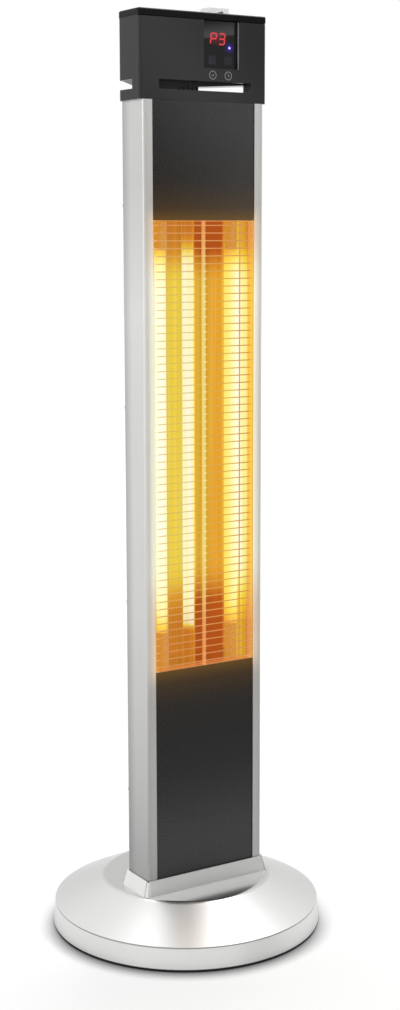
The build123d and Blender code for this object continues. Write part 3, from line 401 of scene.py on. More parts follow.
def vary(shader, pattern, name, low, high):
    """Let a number of the shader follow the grain between two values."""
    feed(shader, name, slope(pattern, *GRAIN_RANGE, low, high))


def tint(shader, pattern, dark, light):
    """Let the base colour follow the grain between two colours."""
    stops = list(zip(GRAIN_RANGE, (dark, light)))
    feed(shader, "Base Color", colour_ramp(pattern, stops))


def relief(shader, pattern, depth):
    """Let the grain raise and lower the surface by a depth in metres."""
    bump = add_node(shader.id_data, "Bump", {"Height": pattern, "Distance": depth})
    feed(shader, "Normal", bump.outputs["Normal"])


def darken(shader, level):
    """Scale the base colour by a level from 0 to 1."""
    feed(shader, "Base Color", mixed(level, BLACK, linked(shader, "Base Color")))


def shine(shader, colour, strength):
    """Give the shader its glow, by its colour and strength."""
    feed(shader, "Emission Color", colour)
    feed(shader, "Emission Strength", strength)


def strokes_round(shader, axis):
    """Turn the strokes that spread the highlights round an axis."""
    tangent = add_node(shader.id_data, "Tangent", {}, direction_type="RADIAL", axis=axis)
    feed(shader, "Tangent", tangent.outputs["Tangent"])


def beside_tubes(tree, foot_soft=90 * MM, top_soft=50 * MM):
    """1 beside the tubes, falling to 0 past their ends over the given lengths."""
    low, high = (end[2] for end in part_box("quartz_tube_left"))
    level = coordinate(tree, "Z")
    foot = rise(level, low - 10 * MM, low + foot_soft)
    return times(foot, fall(level, high - top_soft, high + 30 * MM))


def heat_and_painted_glow_colour(heat):
    """Glow colour by a level, from ember through amber and gold to nearly white: the tubes' heat, and the
    painted light on the reflector, wires and caps.
    """
    colours = bpy.context.scene.heater_colours
    stops = (
        (0.2, colours.heat_ember),
        (0.55, colours.heat_amber),
        (0.76, colours.heat_gold),
        (0.93, colours.heat_pale),
        (1.0, colours.heat_core),
    )
    return colour_ramp(heat, stops)


def seen_rays(tree, reflected=1.0):
    """1 for what the camera sees, straight or through a piece, and a share in reflections."""
    rays = add_node(tree, "LightPath", {}).outputs
    direct = worked_out("MAXIMUM", rays["Is Camera Ray"], rays["Is Transmission Ray"])
    return worked_out("MAXIMUM", direct, times(rays["Is Glossy Ray"], reflected))


def shade(colour, factor):
    """Colour made darker or lighter."""
    return tuple(min(1.0, value * factor) for value in colour)


def dress(material, *names):
    """Give CAD nodes a material."""
    for name in names:
        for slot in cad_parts[name].material_slots:
            slot.material = material


def nodes_named(start):
    """Names of the CAD nodes that begin with a word."""
    return [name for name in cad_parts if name.startswith(start)]


def middle_of(name):
    """Middle of a CAD node's box."""
    low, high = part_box(name)
    return (Vector(low) + Vector(high)) / 2


# ---- finishes
def grained(
    name, colour, roughness, tones, spread=None, depth=None,
    metallic=0.0, scale=1.0, detail=2.0, stretch=EVEN,
):
    """Material, shader, tree and grain of a finish.

    The grain takes the colour between the two shares in tones, the roughness as far down and
    up as spread says, and the surface up and down by the depth.
    """
    material, shader, tree = new_finish(name, colour, roughness, metallic)
    pattern = grain(tree, scale, detail, stretch)
    tint(shader, pattern, *(shade(colour, tone) for tone in tones))
    if spread:
        vary(shader, pattern, "Roughness", roughness - spread[0], roughness + spread[1])
    if depth:
        relief(shader, pattern, depth)
    return material, shader, tree, pattern


def spun_steel(colour):
    """Spun stainless steel with a radial satin sheen."""
    material, shader, tree = new_finish("spun_steel", colour, 0.3, 1.0)
    rings = turned_grain(tree, lines=2600.0, detail=3.0)
    strokes_round(shader, "Z")
    height = coordinate(tree, "Z")
    # Painted shade: a fine dark line runs under the crease between cone and rim.
    above = rise(height, CREASE - 2.2 * MM, CREASE - 1.2 * MM)
    painted_crease_shade = times(above, fall(height, CREASE - 0.4 * MM, CREASE))
    # The flat top round the collar is polished, and the cone and rim are satin.
    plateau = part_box("base_cover")[1][2]
    satin = fall(height, plateau - 3 * MM, plateau - 0.5 * MM)
    bright = mixed(rings, shade(colour, 0.97), colour)
    # Painted shade: the polished flat top takes a darker copy of the steel colour.
    turned = mixed(satin, shade(colour, 0.86), bright)
    # Painted light: the upright rim is drawn a little paler than the cone.
    rim = fall(height, CREASE - 1 * MM, CREASE)
    turned = mixed(rim, turned, shade(colour, 1.1))
    feed(shader, "Base Color", mixed(painted_crease_shade, turned, shade(colour, 0.45)))
    polished_roughness, satin_roughness = 0.19, 0.42
    gloss = rise(satin, 0.0, 1.0, polished_roughness, satin_roughness)
    feed(shader, "Roughness", times(gloss, slope(rings, 0.0, 1.0, 0.8, 1.15)))
    feed(shader, "Anisotropic", times(satin, 0.55))
    feed(shader, "Anisotropic Rotation", 0.25)
    return material


def brushed_steel(name, colour, axis, roughness, strokes_per_metre=4000.0):
    """Steel brushed along one axis, so that highlights spread across the strokes."""
    lengthwise = 30.0
    stretch = tuple(lengthwise if letter == axis else strokes_per_metre for letter in "XYZ")
    material, shader, *_ = grained(
        name, colour, roughness, (0.93, 1.0), (0.04, 0.06), detail=4.0, stretch=stretch, metallic=1.0
    )
    strokes_round(shader, axis)
    feed(shader, "Anisotropic", 0.6)
    return material


def anodised_aluminium(colour, spill):
    """Extruded aluminium with faint drawing lines along its length, painted shade and a painted glow of the
    window's light.
    """
    lines = {"detail": 3.0, "stretch": (1500.0, 1500.0, 6.0)}
    material, shader, tree, _ = grained(
        "anodised_aluminium", colour, 0.38, (0.95, 1.0), (0.04, 0.06), 0.002 * MM, metallic=1.0, **lines
    )
    (left, front, bottom), (_, back, top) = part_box("side_profile_left")
    outer = abs(left)
    height = coordinate(tree, "Z")
    share = slope(height, bottom, top)
    # Painted shade: the sides are greyer towards the foot and along their back edge.
    rear = fall(coordinate(tree, "Y"), back - 22 * MM, back, 0.7)
    side_level = times(number_ramp(share, SIDE_LEVEL), rear)
    # Painted shade: the front edges are greyer past the window's ends and on their outer side.
    across = worked_out("ABSOLUTE", coordinate(tree, "X"))
    rim = fall(across, 0.9 * outer, outer, 0.85)
    front_level = times(number_ramp(share, FRONT_LEVEL), rim)
    darken(shader, mixed(faces_low(tree, "Y"), side_level, front_level))
    # Painted light: a glow on the front edges beside the window stands for its light, most of all next to
    # the tubes.
    facing = fall(coordinate(tree, "Y"), front + 0.4 * MM, front + 1.2 * MM)
    inner = fall(across, 0.835 * outer, outer, 0.15)
    low, high = (end[2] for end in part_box("grille"))
    foot = rise(height, low - 20 * MM, low + 6 * MM)
    window = times(foot, fall(height, high - 6 * MM, high + 20 * MM))
    tubes = beside_tubes(tree)
    warm = mixed(tubes, screen_colour(255, 205, 110), screen_colour(255, 250, 215))
    near = times(window, inner, rise(tubes, 0.0, 1.0, 0.3, 0.5))
    # A fainter painted glow reaches further along both edges.
    foot = rise(height, low - 150 * MM, low)
    far = times(foot, fall(height, high, high + 150 * MM, 0.4), 0.035)
    shine(shader, warm, times(facing, sum_of(near, far), spill))
    return material


def powder_coat(name, colour, roughness, tones):
    """Sheet metal under fine-textured powder coat."""
    material, shader, tree, _ = grained(
        name, colour, roughness, tones, (0.08, 0.08), 0.01 * MM, scale=1400.0, detail=3.0
    )
    feed(shader, "Specular IOR Level", 0.3)
    return material, shader, tree


def panel_coat(colour, spill):
    """Powder coat of the front panels, with painted shade and a painted glow of the window's light beside
    them.
    """
    material, shader, tree = powder_coat("panel_coat", colour, 0.27, (0.8955, 1.0))
    height = coordinate(tree, "Z")
    low, high = (end[2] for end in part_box("grille"))
    # Painted shade: the panels are darkest beside the window, and the upper one is paler on its right.
    left, right = (end[0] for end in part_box("upper_panel"))
    across = number_ramp(slope(coordinate(tree, "X"), left, right), PANEL_SWEEP)
    middle = PANEL_SWEEP[1][1]
    sweep = mixed(rise(height, low, high), (middle, middle, middle), across)
    darken(shader, times(level_along(tree, "Z", PANEL_LEVEL), sweep))
    # Painted light: a warm glow near the window stands for its light on the panels.
    half = (high - low) / 2
    away = worked_out("ABSOLUTE", sum_of(height, -(low + high) / 2))
    light = [
        rise(away, half + start * MM, half + end * MM, strength * spill, 0.0)
        for start, end, strength in PANEL_SPILL
    ]
    shine(shader, screen_colour(255, 180, 20), sum_of(*light))
    return material


def moulded_plastic(name, colour, roughness, depth=0.02 * MM, sheen=0.5):
    """Moulded plastic with a fine spark-eroded grain."""
    material, shader, *_ = grained(name, colour, roughness, (0.92, 1.08), (0.05, 0.05), depth, scale=1900.0)
    feed(shader, "Specular IOR Level", sheen)
    return material


def soften_edges(material, radius):
    """Let the edges of a moulding catch the light as if they were rounded."""
    tree = material.node_tree
    rounding = add_node(tree, "Bevel", {"Radius": radius})
    bump = next(node for node in tree.nodes if node.bl_idname == "ShaderNodeBump")
    feed(bump, "Normal", rounding.outputs["Normal"])


def polish_undersides(material, roughness, sheen):
    """Make the faces that look down smooth and glossy, as the mould's core leaves them."""
    tree = material.node_tree
    shader = tree.nodes["Principled BSDF"]
    down = faces_low(tree, "Z")
    blend = {"Factor": down, 2: linked(shader, "Roughness"), 3: roughness}
    feed(shader, "Roughness", add_node(tree, "Mix", blend, data_type="FLOAT").outputs[0])
    usual = shader.inputs["Specular IOR Level"].default_value
    feed(shader, "Specular IOR Level", rise(down, 0.0, 1.0, usual, sheen))


def painted_highlight_on_recess_wall(material, colour):
    """Painted highlight: a pale stripe along the right wall of the display's recess, between darker edges.
    """
    tree = material.node_tree
    shader = tree.nodes["Principled BSDF"]
    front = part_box("head_fascia")[0][1]
    lens_low, lens_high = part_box("display_lens")
    right = rise(coordinate(tree, "X"), lens_high[0] - 4 * MM, lens_high[0] - 3 * MM)
    above = rise(coordinate(tree, "Z"), lens_low[2] - 1 * MM, lens_low[2] + 3 * MM)
    depth = coordinate(tree, "Y")
    outer = rise(depth, front + 0.6 * MM, front + 1.4 * MM)
    inner = fall(depth, lens_low[1] - 2 * MM, lens_low[1] - 1 * MM)
    stripe = times(faces_low(tree, "X"), right, above, outer, inner)
    feed(shader, "Base Color", mixed(stripe, linked(shader, "Base Color"), colour))


def smoked_lens(colour, glows):
    """Glossy smoked window, with painted light round what is lit behind it."""
    material, shader, tree, _ = grained(
        "smoked_lens", colour, 0.018, (0.9, 1.1), (0.006, 0.007), scale=240.0, detail=3.0
    )
    feed(shader, "Specular IOR Level", 0.75)
    light = BLACK
    for centre, stretch, radius, glow_colour in glows:
        shift = [-part * factor for part, factor in zip(centre, stretch)]
        inputs = {"Vector": own_place(tree), "Location": shift, "Scale": stretch}
        offset = add_node(tree, "Mapping", inputs).outputs["Vector"]
        light = mixed(fall(distance(offset), 0.0, radius), light, glow_colour)
    shine(shader, light, 1.0)
    return material


def bright_wire(colour, glow):
    """Bright nickel-plated wire, with a painted glow that stands for the tubes' light on it from behind."""
    material, shader, tree, _ = grained(
        "bright_wire", colour, 0.22, (0.85, 1.0), (0.06, 0.08), stretch=(60.0, 900.0, 900.0), metallic=1.0
    )
    side = worked_out("ABSOLUTE", coordinate(tree, "X"))
    frame_side = rise(side, 57.5 * MM, 58.5 * MM)
    # Painted glow: the wires take the tubes' colours beside them, and a warm orange past their ends.
    past_tubes = mixed(frame_side, screen_colour(235, 150, 84), screen_colour(222, 158, 88))
    heat = heat_and_painted_glow_colour(level_along(tree, "X", WIRE_PAINTED_GLOW))
    # The centre bar and the frame's sides are wider than the wires, and get a brighter painted glow.
    wide = sum_of(fall(side, 2.2 * MM, 2.8 * MM), frame_side)
    strength = rise(wide, 0.0, 1.0, glow, 1.5 * glow)
    shine(shader, mixed(beside_tubes(tree), past_tubes, heat), strength)
    return material


def polished_reflector(glow):
    """Rolled mirror sheet, faintly streaked along its length, with painted light that stands for the tubes'
    light on it.
    """
    plain = screen_colour(206, 205, 203)
    material, shader, tree = new_finish("polished_reflector", plain, 0.12, 1.0)
    streaks = grain(tree, 1.0, 3.0, (260.0, 260.0, 3.0))
    vary(shader, streaks, "Roughness", 0.08, 0.18)
    relief(shader, streaks, 0.03 * MM)
    heat, mirror, drop = (
        level_along(tree, "X", [(step[0], step[column]) for step in REFLECTOR_PAINTED_LIGHT]) for column in (1, 2, 3)
    )
    past_ends = rise(beside_tubes(tree, foot_soft=80 * MM, top_soft=48 * MM), 0.0, 1.0, -1.0, 0.0)
    # The ridge's flank carries a painted reflection of a tube, so its painted light stops short at the
    # tube's ends.
    stop = rise(beside_tubes(tree, foot_soft=8 * MM, top_soft=22 * MM), 0.0, 1.0, -0.6, 0.0)
    painted_light_loss = sum_of(times(drop, past_ends), times(level_along(tree, "X", RIDGE_FLANK), stop))
    streak = rise(streaks, *GRAIN_RANGE, -0.04, 0.04)
    light = heat_and_painted_glow_colour(sum_of(heat, painted_light_loss, streak))
    # Only the faces that look forwards get the painted light of the tubes.
    ahead = fall(normal_part(tree, "Y"), -0.05, 0.05)
    feed(shader, "Base Color", mixed(ahead, plain, mixed(mirror, BLACK, light)))
    shine(shader, mixed(mirror, light, BLACK), times(ahead, glow))
    return material


def glowing_tube(name, full_heat, strength, alpha):
    """Quartz or carbon that glows, pale in the middle and orange at its ends."""
    material, shader, tree, cloud = grained(
        name, screen_colour(96, 78, 58), 0.15, (0.8, 1.0), scale=90.0, stretch=CLOUDY
    )
    low, high = (end[2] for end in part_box("quartz_tube_left"))
    lengthwise = number_ramp(slope(coordinate(tree, "Z"), low, high), TUBE_LENGTH_HEAT)
    heat = times(lengthwise, level_along(tree, "X", TUBE_HEAT), full_heat)
    drift = rise(cloud, *GRAIN_RANGE, -0.01, 0.01)
    shine(shader, heat_and_painted_glow_colour(sum_of(heat, drift)), strength)
    feed(shader, "Alpha", alpha)
    return material


def warm_ceramic(colour):
    """Steatite by the tubes, with a painted glow that stands for their light on it."""
    material, shader, _, clay = grained(
        "steatite", colour, 0.6, (0.85, 1.0), depth=0.04 * MM, scale=500.0, detail=4.0
    )
    shine(shader, heat_and_painted_glow_colour(rise(clay, *GRAIN_RANGE, 0.38, 0.5)), 0.8)
    return material


def glowing(name, colour, strength):
    """Something lit from inside, with faint cloudy variation."""
    unlit = shade(colour, 0.3)
    material, shader, _, cloud = grained(name, unlit, 0.2, (2 / 3, 1.0), scale=90.0, stretch=CLOUDY)
    feed(shader, "Emission Color", colour)
    vary(shader, cloud, "Emission Strength", strength * 0.92, strength * 1.05)
    return material


def clear_plastic(name, colour, alpha, roughness):
    """Clear soft plastic, thin enough to see through."""
    material, shader, *_ = grained(name, colour, roughness, (0.94, 1.0), (0.0, 0.12), scale=300.0)
    feed(shader, "Alpha", alpha)
    return material


def rubber(name, colour):
    """Matt rubber with a dusty grain."""
    return grained(name, colour, 0.75, (0.8, 1.25), depth=0.05 * MM, scale=700.0, detail=4.0)[0]


def cast_iron(colour):
    """Rough primed casting."""
    sand = {"depth": 0.2 * MM, "scale": 420.0, "detail": 6.0}
    return grained("cast_iron", colour, 0.7, (0.7, 1.3), metallic=0.3, **sand)[0]


# ---- object helpers
def new_object(name, data):
    """Object in the scene from a mesh, a lamp or a camera."""
    added = bpy.data.objects.new(name, data)
    bpy.context.scene.collection.objects.link(added)
    return added


def mesh_piece(name, build, material):
    """Object from a function that fills a bmesh, riding on the tower."""
    shape = bmesh.new()
    build(shape)
    bmesh.ops.recalc_face_normals(shape, faces=shape.faces)
    mesh = bpy.data.meshes.new(name)
    shape.to_mesh(mesh)
    shape.free()
    mesh.materials.append(material)
    piece = new_object(name, mesh)
    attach(piece, "tower")


def sheet(name, corners, material):
    """Flat object with four corners."""
    mesh = bpy.data.meshes.new(name)
    mesh.from_pydata(corners, [], [(0, 1, 2, 3)])
    mesh.materials.append(material)
    return new_object(name, mesh)


def raise_outline(shape, outline, front, height):
    """Flat mark on a face that looks forwards, from its outline in X and Z."""
    corners = [shape.verts.new((x, front, z)) for x, z in outline]
    face = shape.faces.new(corners)
    grown = bmesh.ops.extrude_face_region(shape, geom=[face])
    moved = [item for item in grown["geom"] if isinstance(item, bmesh.types.BMVert)]
    bmesh.ops.translate(shape, verts=moved, vec=(0.0, -height, 0.0))


def raise_ring(shape, centre, outer, inner, front, height, steps=48):
    """Flat ring on a face that looks forwards."""
    rows = []
    for radius, depth in ((outer, 0.0), (outer, -height), (inner, -height), (inner, 0.0)):
        row = []
        for step in range(steps):
            turn = 2 * pi * step / steps
            place = (centre.x + radius * cos(turn), front + depth, centre.z + radius * sin(turn))
            row.append(shape.verts.new(place))
        rows.append(row)
    for here, there in zip(rows, rows[1:] + rows[:1]):
        for step in range(steps):
            after = (step + 1) % steps
            shape.faces.new((here[step], here[after], there[after], there[step]))


def stroke(start, end, width):
    """Outline of a straight stroke with pointed ends, as on a segment display."""
    first, last = Vector(start), Vector(end)
    along = (last - first).normalized()
    across = Vector((-along.y, along.x)) * width / 2
    tip = along * width / 2
    return (
        *(first, first + tip + across, last - tip + across),
        *(last, last - tip - across, first + tip - across),
    )


# ---- operators
class HEATER_OT_base(bpy.types.Operator):
    """Finish the base: spun cover, weight, pan, rubber edge and tip-over switch"""

    bl_idname = "heater.base"
    bl_label = "Base"

    def execute(self, context):
        colours = context.scene.heater_colours
        zinc = brushed_steel("zinc_plate", shade(colours.steel, 0.72), "X", 0.42, strokes_per_metre=700.0)
        nylon = moulded_plastic("black_nylon", shade(colours.head, 0.6), 0.5)
        dress(spun_steel(colours.steel), "base_cover")
        dress(rubber("edge_rubber", screen_colour(22, 22, 22)), "base_gasket")
        dress(cast_iron(screen_colour(70, 70, 72)), "base_weight")
        dress(zinc, "base_pan", "foot_plate", "head_mount_plate", *nodes_named("tube_bracket"))
        dress(zinc, "pan_screws", "foot_bolts", "port_screws", "head_screws", "board_screws")
        dress(zinc, "rear_screws", "plunger_spring", "thermal_cutout")
        dress(nylon, "tilt_switch_body", "tilt_plunger", "cable_gland", "switch_body")
        return {"FINISHED"}


class HEATER_OT_collar(bpy.types.Operator):
    """Finish the sloping collar at the column's foot"""

    bl_idname = "heater.collar"
    bl_label = "Collar"

    def execute(self, context):
        steel = context.scene.heater_colours.steel
        # Painted light: the collar plates take a paler copy of the steel colour.
        along = brushed_steel("brushed_along", shade(steel, 1.2), "X", 0.33)
        across = brushed_steel("brushed_across", shade(steel, 1.2), "Y", 0.33)
        dress(along, "collar_plate_front", "collar_plate_rear")
        dress(across, "collar_plate_left", "collar_plate_right")
        dress(brushed_steel("polished_core", steel, "Z", 0.14), "collar_core")
        return {"FINISHED"}


class HEATER_OT_column(bpy.types.Operator):
    """Finish the aluminium profiles, the dark panels and the back of the column"""

    bl_idname = "heater.column"
    bl_label = "Column"

    def execute(self, context):
        colours = context.scene.heater_colours
        spill = context.scene.heater_glow.spill
        dress(anodised_aluminium(colours.aluminium, spill), *nodes_named("side_profile"))
        dress(panel_coat(colours.panel, spill), "upper_panel", "lower_panel")
        dress(powder_coat("rear_coat", colours.rear, 0.55, (0.93, 1.05))[0], "rear_cover")
        return {"FINISHED"}


class HEATER_OT_heating(bpy.types.Operator):
    """Finish the grille, the reflector, the tubes and their ceramic caps"""

    bl_idname = "heater.heating"
    bl_label = "Heating unit"

    def execute(self, context):
        colours = context.scene.heater_colours
        glow = context.scene.heater_glow
        # The wires' warm base colour is painted light from the tubes.
        dress(bright_wire(screen_colour(164, 128, 86), glow.grille), "grille")
        dress(polished_reflector(glow.reflector), "reflector")
        dress(glowing_tube("glowing_quartz", 0.99, glow.tube, alpha=0.5), *nodes_named("quartz_tube"))
        dress(glowing_tube("carbon_ribbon", 1.0, glow.ribbon, alpha=1.0), *nodes_named("filament"))
        dress(warm_ceramic(colours.ceramic), *nodes_named("ceramic_cap"))
        return {"FINISHED"}


class HEATER_OT_wiring(bpy.types.Operator):
    """Finish the leads, the terminal block and the electronics"""

    bl_idname = "heater.wiring"
    bl_label = "Wiring"

    def execute(self, context):
        dress(rubber("black_sheath", screen_colour(30, 30, 30)), "supply_lead", "control_lead")
        dress(rubber("silicone_sleeve", screen_colour(190, 184, 176)), *nodes_named("element_leads"))
        dress(moulded_plastic("terminal_white", screen_colour(228, 226, 218), 0.5), "terminal_block")
        dress(moulded_plastic("board_green", screen_colour(28, 92, 52), 0.4), "control_board")
        dress(moulded_plastic("relay_blue", screen_colour(34, 74, 150), 0.35), "power_relays")
        dress(rubber("pad_foam", screen_colour(90, 90, 90)), *nodes_named("touch_pad"))
        return {"FINISHED"}


class HEATER_OT_head(bpy.types.Operator):
    """Finish the head: casing, fascia, lid and smoked lens"""

    bl_idname = "heater.head"
    bl_label = "Head"

    def execute(self, context):
        colours = context.scene.heater_colours
        casing = moulded_plastic("head_grain", colours.head, 0.4, sheen=0.3)
        fascia = moulded_plastic("fascia_satin", colours.fascia, 0.22, 0.004 * MM, sheen=0.28)
        polish_undersides(casing, roughness=0.1, sheen=0.6)
        polish_undersides(fascia, roughness=0.1, sheen=0.9)
        painted_highlight_on_recess_wall(fascia, screen_colour(168, 168, 170))
        soften_edges(fascia, 0.7 * MM)
        dress(casing, "head_casing")
        dress(fascia, "head_fascia")
        dress(moulded_plastic("lid_satin", colours.lid, 0.3, 0.01 * MM, sheen=0.12), "head_lid")
        # Each painted glow on the lens round what is lit behind it: its middle, stretch, reach and colour.
        figures = middle_of("display_module") + Vector((0, 0, FIGURES_UP))
        glows = (
            (figures, (0.7, 0.0, 1.3), 11 * MM, screen_colour(88, 4, 16)),
            (middle_of("indicator_lamp"), (1.0, 0.0, 1.0), 6.5 * MM, screen_colour(44, 14, 150)),
        )
        dress(smoked_lens(colours.lens, glows), "display_lens")
        return {"FINISHED"}


class HEATER_OT_display(bpy.types.Operator):
    """Light the display: two figures, a lamp and two dim fields"""

    bl_idname = "heater.display"
    bl_label = "Display"

    def execute(self, context):
        colours = context.scene.heater_colours
        glow = context.scene.heater_glow
        marks = context.scene.heater_marks
        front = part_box("display_lens")[0][1]
        red = glowing("lit_digits", colours.digits, glow.digits)
        dress(red, "display_module")
        dress(glowing("lit_lamp", colours.lamp, glow.lamp), "indicator_lamp")
        dress(glowing("dim_fields", screen_colour(70, 70, 72), 0.1), *nodes_named("light_field"))
        dress(moulded_plastic("sensor_window", screen_colour(30, 16, 22), 0.15), "remote_sensor")
        lean = sin(marks.digit_slant)
        foot = middle_of("display_module").z + FIGURES_UP - marks.digit_height / 2
        # Segments by the ends of their strokes, in widths and half heights of a figure.
        top, centre, bottom = ((0, 2), (1, 2)), ((0, 1), (1, 1)), ((0, 0), (1, 0))
        left_up, left_low = ((0, 1), (0, 2)), ((0, 0), (0, 1))
        right_up, right_low = ((1, 1), (1, 2)), ((1, 0), (1, 1))
        # Each figure by how far its left side is from the module's, and by its segments.
        figures = (
            (3.2 * MM, (top, centre, left_up, left_low, right_up)),
            (13.6 * MM, (top, centre, bottom, right_up, right_low)),
        )

        def place(spot, start):
            x, z = spot
            up = z * marks.digit_height / 2
            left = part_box("display_module")[0][0] + start
            return (left + x * marks.digit_width + up * lean, foot + up)

        def build_figures(shape):
            for start, segments in figures:
                for ends in segments:
                    outline = stroke(*(place(spot, start) for spot in ends), marks.digit_line)
                    raise_outline(shape, outline, front, marks.print_height)

        def build_lamp(shape):
            lamp_radius, hole_radius = 1.3 * MM, 0.02 * MM
            spot = middle_of("indicator_lamp")
            raise_ring(shape, spot, lamp_radius, hole_radius, front, marks.print_height)

        def build_fields(shape):
            for name in nodes_named("light_field"):
                low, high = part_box(name)
                outline = [(low[0], low[2]), (high[0], low[2]), (high[0], high[2]), (low[0], high[2])]
                raise_outline(shape, outline, front, marks.print_height)

        mesh_piece("display_figures", build_figures, red)
        lamp_face = glowing("lamp_face", colours.lamp, glow.lamp)
        mesh_piece("timer_lamp_face", build_lamp, lamp_face)
        field_face = moulded_plastic("field_face", screen_colour(44, 46, 52), 0.08, None)
        mesh_piece("light_field_faces", build_fields, field_face)
        return {"FINISHED"}


class HEATER_OT_keys(bpy.types.Operator):
    """Print the rings and symbols of the two touch keys"""

    bl_idname = "heater.keys"
    bl_label = "Touch keys"

    def execute(self, context):
        marks = context.scene.heater_marks
        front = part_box("head_fascia")[0][1]
        ink = moulded_plastic("key_print", context.scene.heater_colours.marks, 0.5)
        line = marks.ring_line
        # Strokes of each symbol, in ring radii from the middle of its ring.
        symbols = {
            "touch_pad_power": (((-0.35, 0.05), (-0.02, -0.28)), ((-0.02, -0.28), (0.42, 0.3))),
            "touch_pad_timer": (((0.0, 0.0), (-0.12, 0.55)), ((0.0, 0.0), (0.4, -0.32))),
        }
        for name, strokes in symbols.items():

            def build(shape, middle=middle_of(name), strokes=strokes):
                radius = marks.ring_radius
                raise_ring(shape, middle, radius, radius - line, front, marks.print_height)
                for ends in strokes:
                    outline = stroke(*(middle.xz + Vector(end) * radius for end in ends), line)
                    raise_outline(shape, outline, front, marks.print_height)

            mesh_piece(name.replace("touch_pad", "key_mark"), build, ink)
        return {"FINISHED"}


class HEATER_OT_switch(bpy.types.Operator):
    """Finish the mains switch on the lid and its clear boot"""

    bl_idname = "heater.switch"
    bl_label = "Mains switch"

    def execute(self, context):
        black = shade(context.scene.heater_colours.head, 0.8)
        dress(moulded_plastic("rocker_gloss", black, 0.2, 0.004 * MM), "switch_rocker")
        clear = screen_colour(250, 250, 249)
        dress(clear_plastic("clear_boot", clear, alpha=0.14, roughness=0.12), "switch_boot")
        return {"FINISHED"}


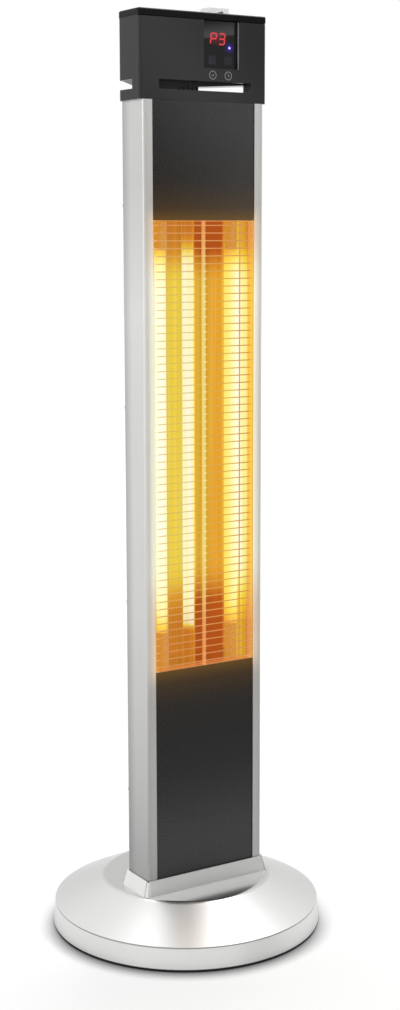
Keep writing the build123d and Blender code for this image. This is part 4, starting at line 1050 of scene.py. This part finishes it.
class HEATER_OT_studio(bpy.types.Operator):
    """Set up the floor, the room's light, the lamps and the camera"""

    bl_idname = "heater.studio"
    bl_label = "Studio"

    def execute(self, context):
        studio = context.scene.heater_studio
        context.scene.view_settings.view_transform = "Standard"
        self.lay_floor(studio)
        self.hang_card(studio)
        self.light_room(context.scene, studio)
        for name, setting, place, target, size in LAMPS:
            self.hang_lamp(name, place, target, size, getattr(studio, setting))
        self.place_camera(context.scene, studio)
        return {"FINISHED"}

    def lay_floor(self, studio):
        """Large pale sheet that turns white where nothing shades it."""
        pale = studio.floor_colour
        material, shader, tree, _ = grained("studio_floor", pale, 0.9, (0.995, 1.0), scale=30.0)
        feed(shader, "Specular IOR Level", 0.1)
        # Painted shade: the floor is darker right beside the base, and darkest on the side away from the
        # lamps.
        corner = add_node(tree, "AmbientOcclusion", {"Distance": studio.contact}, samples=12)
        towards = part_along(own_place(tree), (sin(studio.heading), cos(studio.heading), 0.0))
        front, middle, strong, faint = -0.13, 0.02, 2.4, 0.7
        contrast = rise(towards, front, middle, strong, faint)
        open_share = worked_out("POWER", corner.outputs["AO"], contrast)
        darken(shader, open_share)
        # Away from the heater more white is added.
        near, far, far_veil = 0.6, 3.0, 0.6
        veil = rise(distance(own_place(tree)), near, far, studio.veil, far_veil)
        shine(shader, WHITE, times(veil, open_share, seen_rays(tree, 0.15)))
        corners = [(x * FLOOR_REACH, y * FLOOR_REACH, 0) for x, y in ((-1, -1), (1, -1), (1, 1), (-1, 1))]
        sheet("studio_floor", corners, material)

    def hang_card(self, studio):
        """Grey card that only reflections see, in front of the heater on its right."""
        grey = screen_colour(30, 30, 30)
        material, shader, tree, _ = grained("studio_card", grey, 0.9, (0.895, 1.112), scale=60.0)
        along, up = coordinate(tree, "X"), coordinate(tree, "Z")
        # Above its grey part the card is white and fades out towards its slanted top.
        edge, slant = studio.card_top, -0.1
        level = sum_of(up, times(along, slant))
        white = rise(level, edge, edge + 1 * MM, studio.card, 1.0)
        fade = fall(level, edge + 1 * MM, edge + 32 * MM, 0.15)
        # A soft leaning band of light passes to the left of what the lens mirrors.
        height, slope_of_band = 1.04, 0.8
        lean = sum_of(along, times(sum_of(up, -height), slope_of_band))
        left = rise(lean, -0.16, -0.02)
        right = fall(lean, -0.015, -0.008)
        band = times(left, right, rise(up, 0.7, 0.85, 0.0, studio.band))
        shine(shader, WHITE, sum_of(times(white, fade), band))
        half, top = CARD_HALF, edge + CARD_ABOVE
        card = sheet("studio_card", [(-half, 0, 0), (half, 0, 0), (half, 0, top), (-half, 0, top)], material)
        card.location = CARD_PLACE
        card.rotation_euler = (0.0, 0.0, studio.heading)
        for rays in ("camera", "diffuse", "transmission", "shadow"):
            setattr(card, "visible_" + rays, False)

    def light_room(self, scene, studio):
        """White to the camera and in reflections, softer as a light."""
        world = bpy.data.worlds.new("studio_room")
        scene.world = world
        world.use_nodes = True
        tree = world.node_tree
        level = slope(seen_rays(tree), 0.0, 1.0, studio.sky, 1.0)
        # Reflections see a greyer wall behind the heater.
        behind = Vector((sin(studio.heading), cos(studio.heading), 0.25)).normalized()
        direction = add_node(tree, "TexCoord", {}).outputs["Generated"]
        edge, middle = 0.72, 0.96
        wall = rise(part_along(direction, behind), edge, middle, 0.0, 1.0 - studio.wall)
        mirrored = add_node(tree, "LightPath", {}).outputs["Is Glossy Ray"]
        dimmed = sum_of(times(wall, mirrored, -1.0), 1.0)
        room = tree.nodes["Background"]
        feed(room, "Color", WHITE)
        feed(room, "Strength", times(level, dimmed))

    def hang_lamp(self, name, place, target, size, power):
        """Square lamp that looks at a spot."""
        lamp = bpy.data.lights.new(name, "AREA")
        lamp.energy = power
        lamp.size = size
        holder = new_object(name, lamp)
        holder.location = place
        holder.rotation_euler = (Vector(target) - Vector(place)).to_track_quat("-Z", "Y").to_euler()

    def place_camera(self, scene, studio):
        """Camera at the photograph's place, from its heading, pitch and roll."""
        lens = bpy.data.cameras.new("photo_camera")
        lens.lens = studio.focal_length
        lens.sensor_width = 36.0
        camera = new_object("photo_camera", lens)
        place = Matrix.Translation(studio.camera_place)
        for angle, axis in ((-studio.heading, "Z"), (pi / 2 + studio.pitch, "X"), (studio.roll, "Z")):
            place = place @ Matrix.Rotation(angle, 4, axis)
        camera.matrix_world = place
        scene.camera = camera


STEPS = (
    HEATER_OT_studio,
    HEATER_OT_base,
    HEATER_OT_collar,
    HEATER_OT_column,
    HEATER_OT_heating,
    HEATER_OT_wiring,
    HEATER_OT_head,
    HEATER_OT_display,
    HEATER_OT_keys,
    HEATER_OT_switch,
)


class HEATER_PT_sidebar(bpy.types.Panel):
    """Lists the steps that finish the heater"""

    bl_label = "Heater Tower"
    bl_idname = "HEATER_PT_sidebar"
    bl_space_type = "VIEW_3D"
    bl_region_type = "UI"
    bl_category = "Heater Tower"

    def draw(self, context):
        for step in STEPS:
            self.layout.operator(step.bl_idname)
        for name, _ in GROUPS:
            group = getattr(context.scene, name)
            box = self.layout.box()
            for setting in group.bl_rna.properties:
                if setting.identifier not in ("rna_type", "name"):
                    box.prop(group, setting.identifier)


GROUPS = (
    ("heater_colours", HeaterColours),
    ("heater_glow", HeaterGlow),
    ("heater_marks", HeaterMarks),
    ("heater_studio", StudioSettings),
)


def register():
    for name, group in GROUPS:
        bpy.utils.register_class(group)
        setattr(bpy.types.Scene, name, PointerProperty(type=group))
    for step in STEPS:
        bpy.utils.register_class(step)
    bpy.utils.register_class(HEATER_PT_sidebar)


def unregister():
    bpy.utils.unregister_class(HEATER_PT_sidebar)
    for step in reversed(STEPS):
        bpy.utils.unregister_class(step)
    for name, group in reversed(GROUPS):
        delattr(bpy.types.Scene, name)
        bpy.utils.unregister_class(group)


def main():
    register()
    for step in STEPS:
        area, action = step.bl_idname.split(".")
        getattr(getattr(bpy.ops, area), action)()


if __name__ == "__main__":
    main()
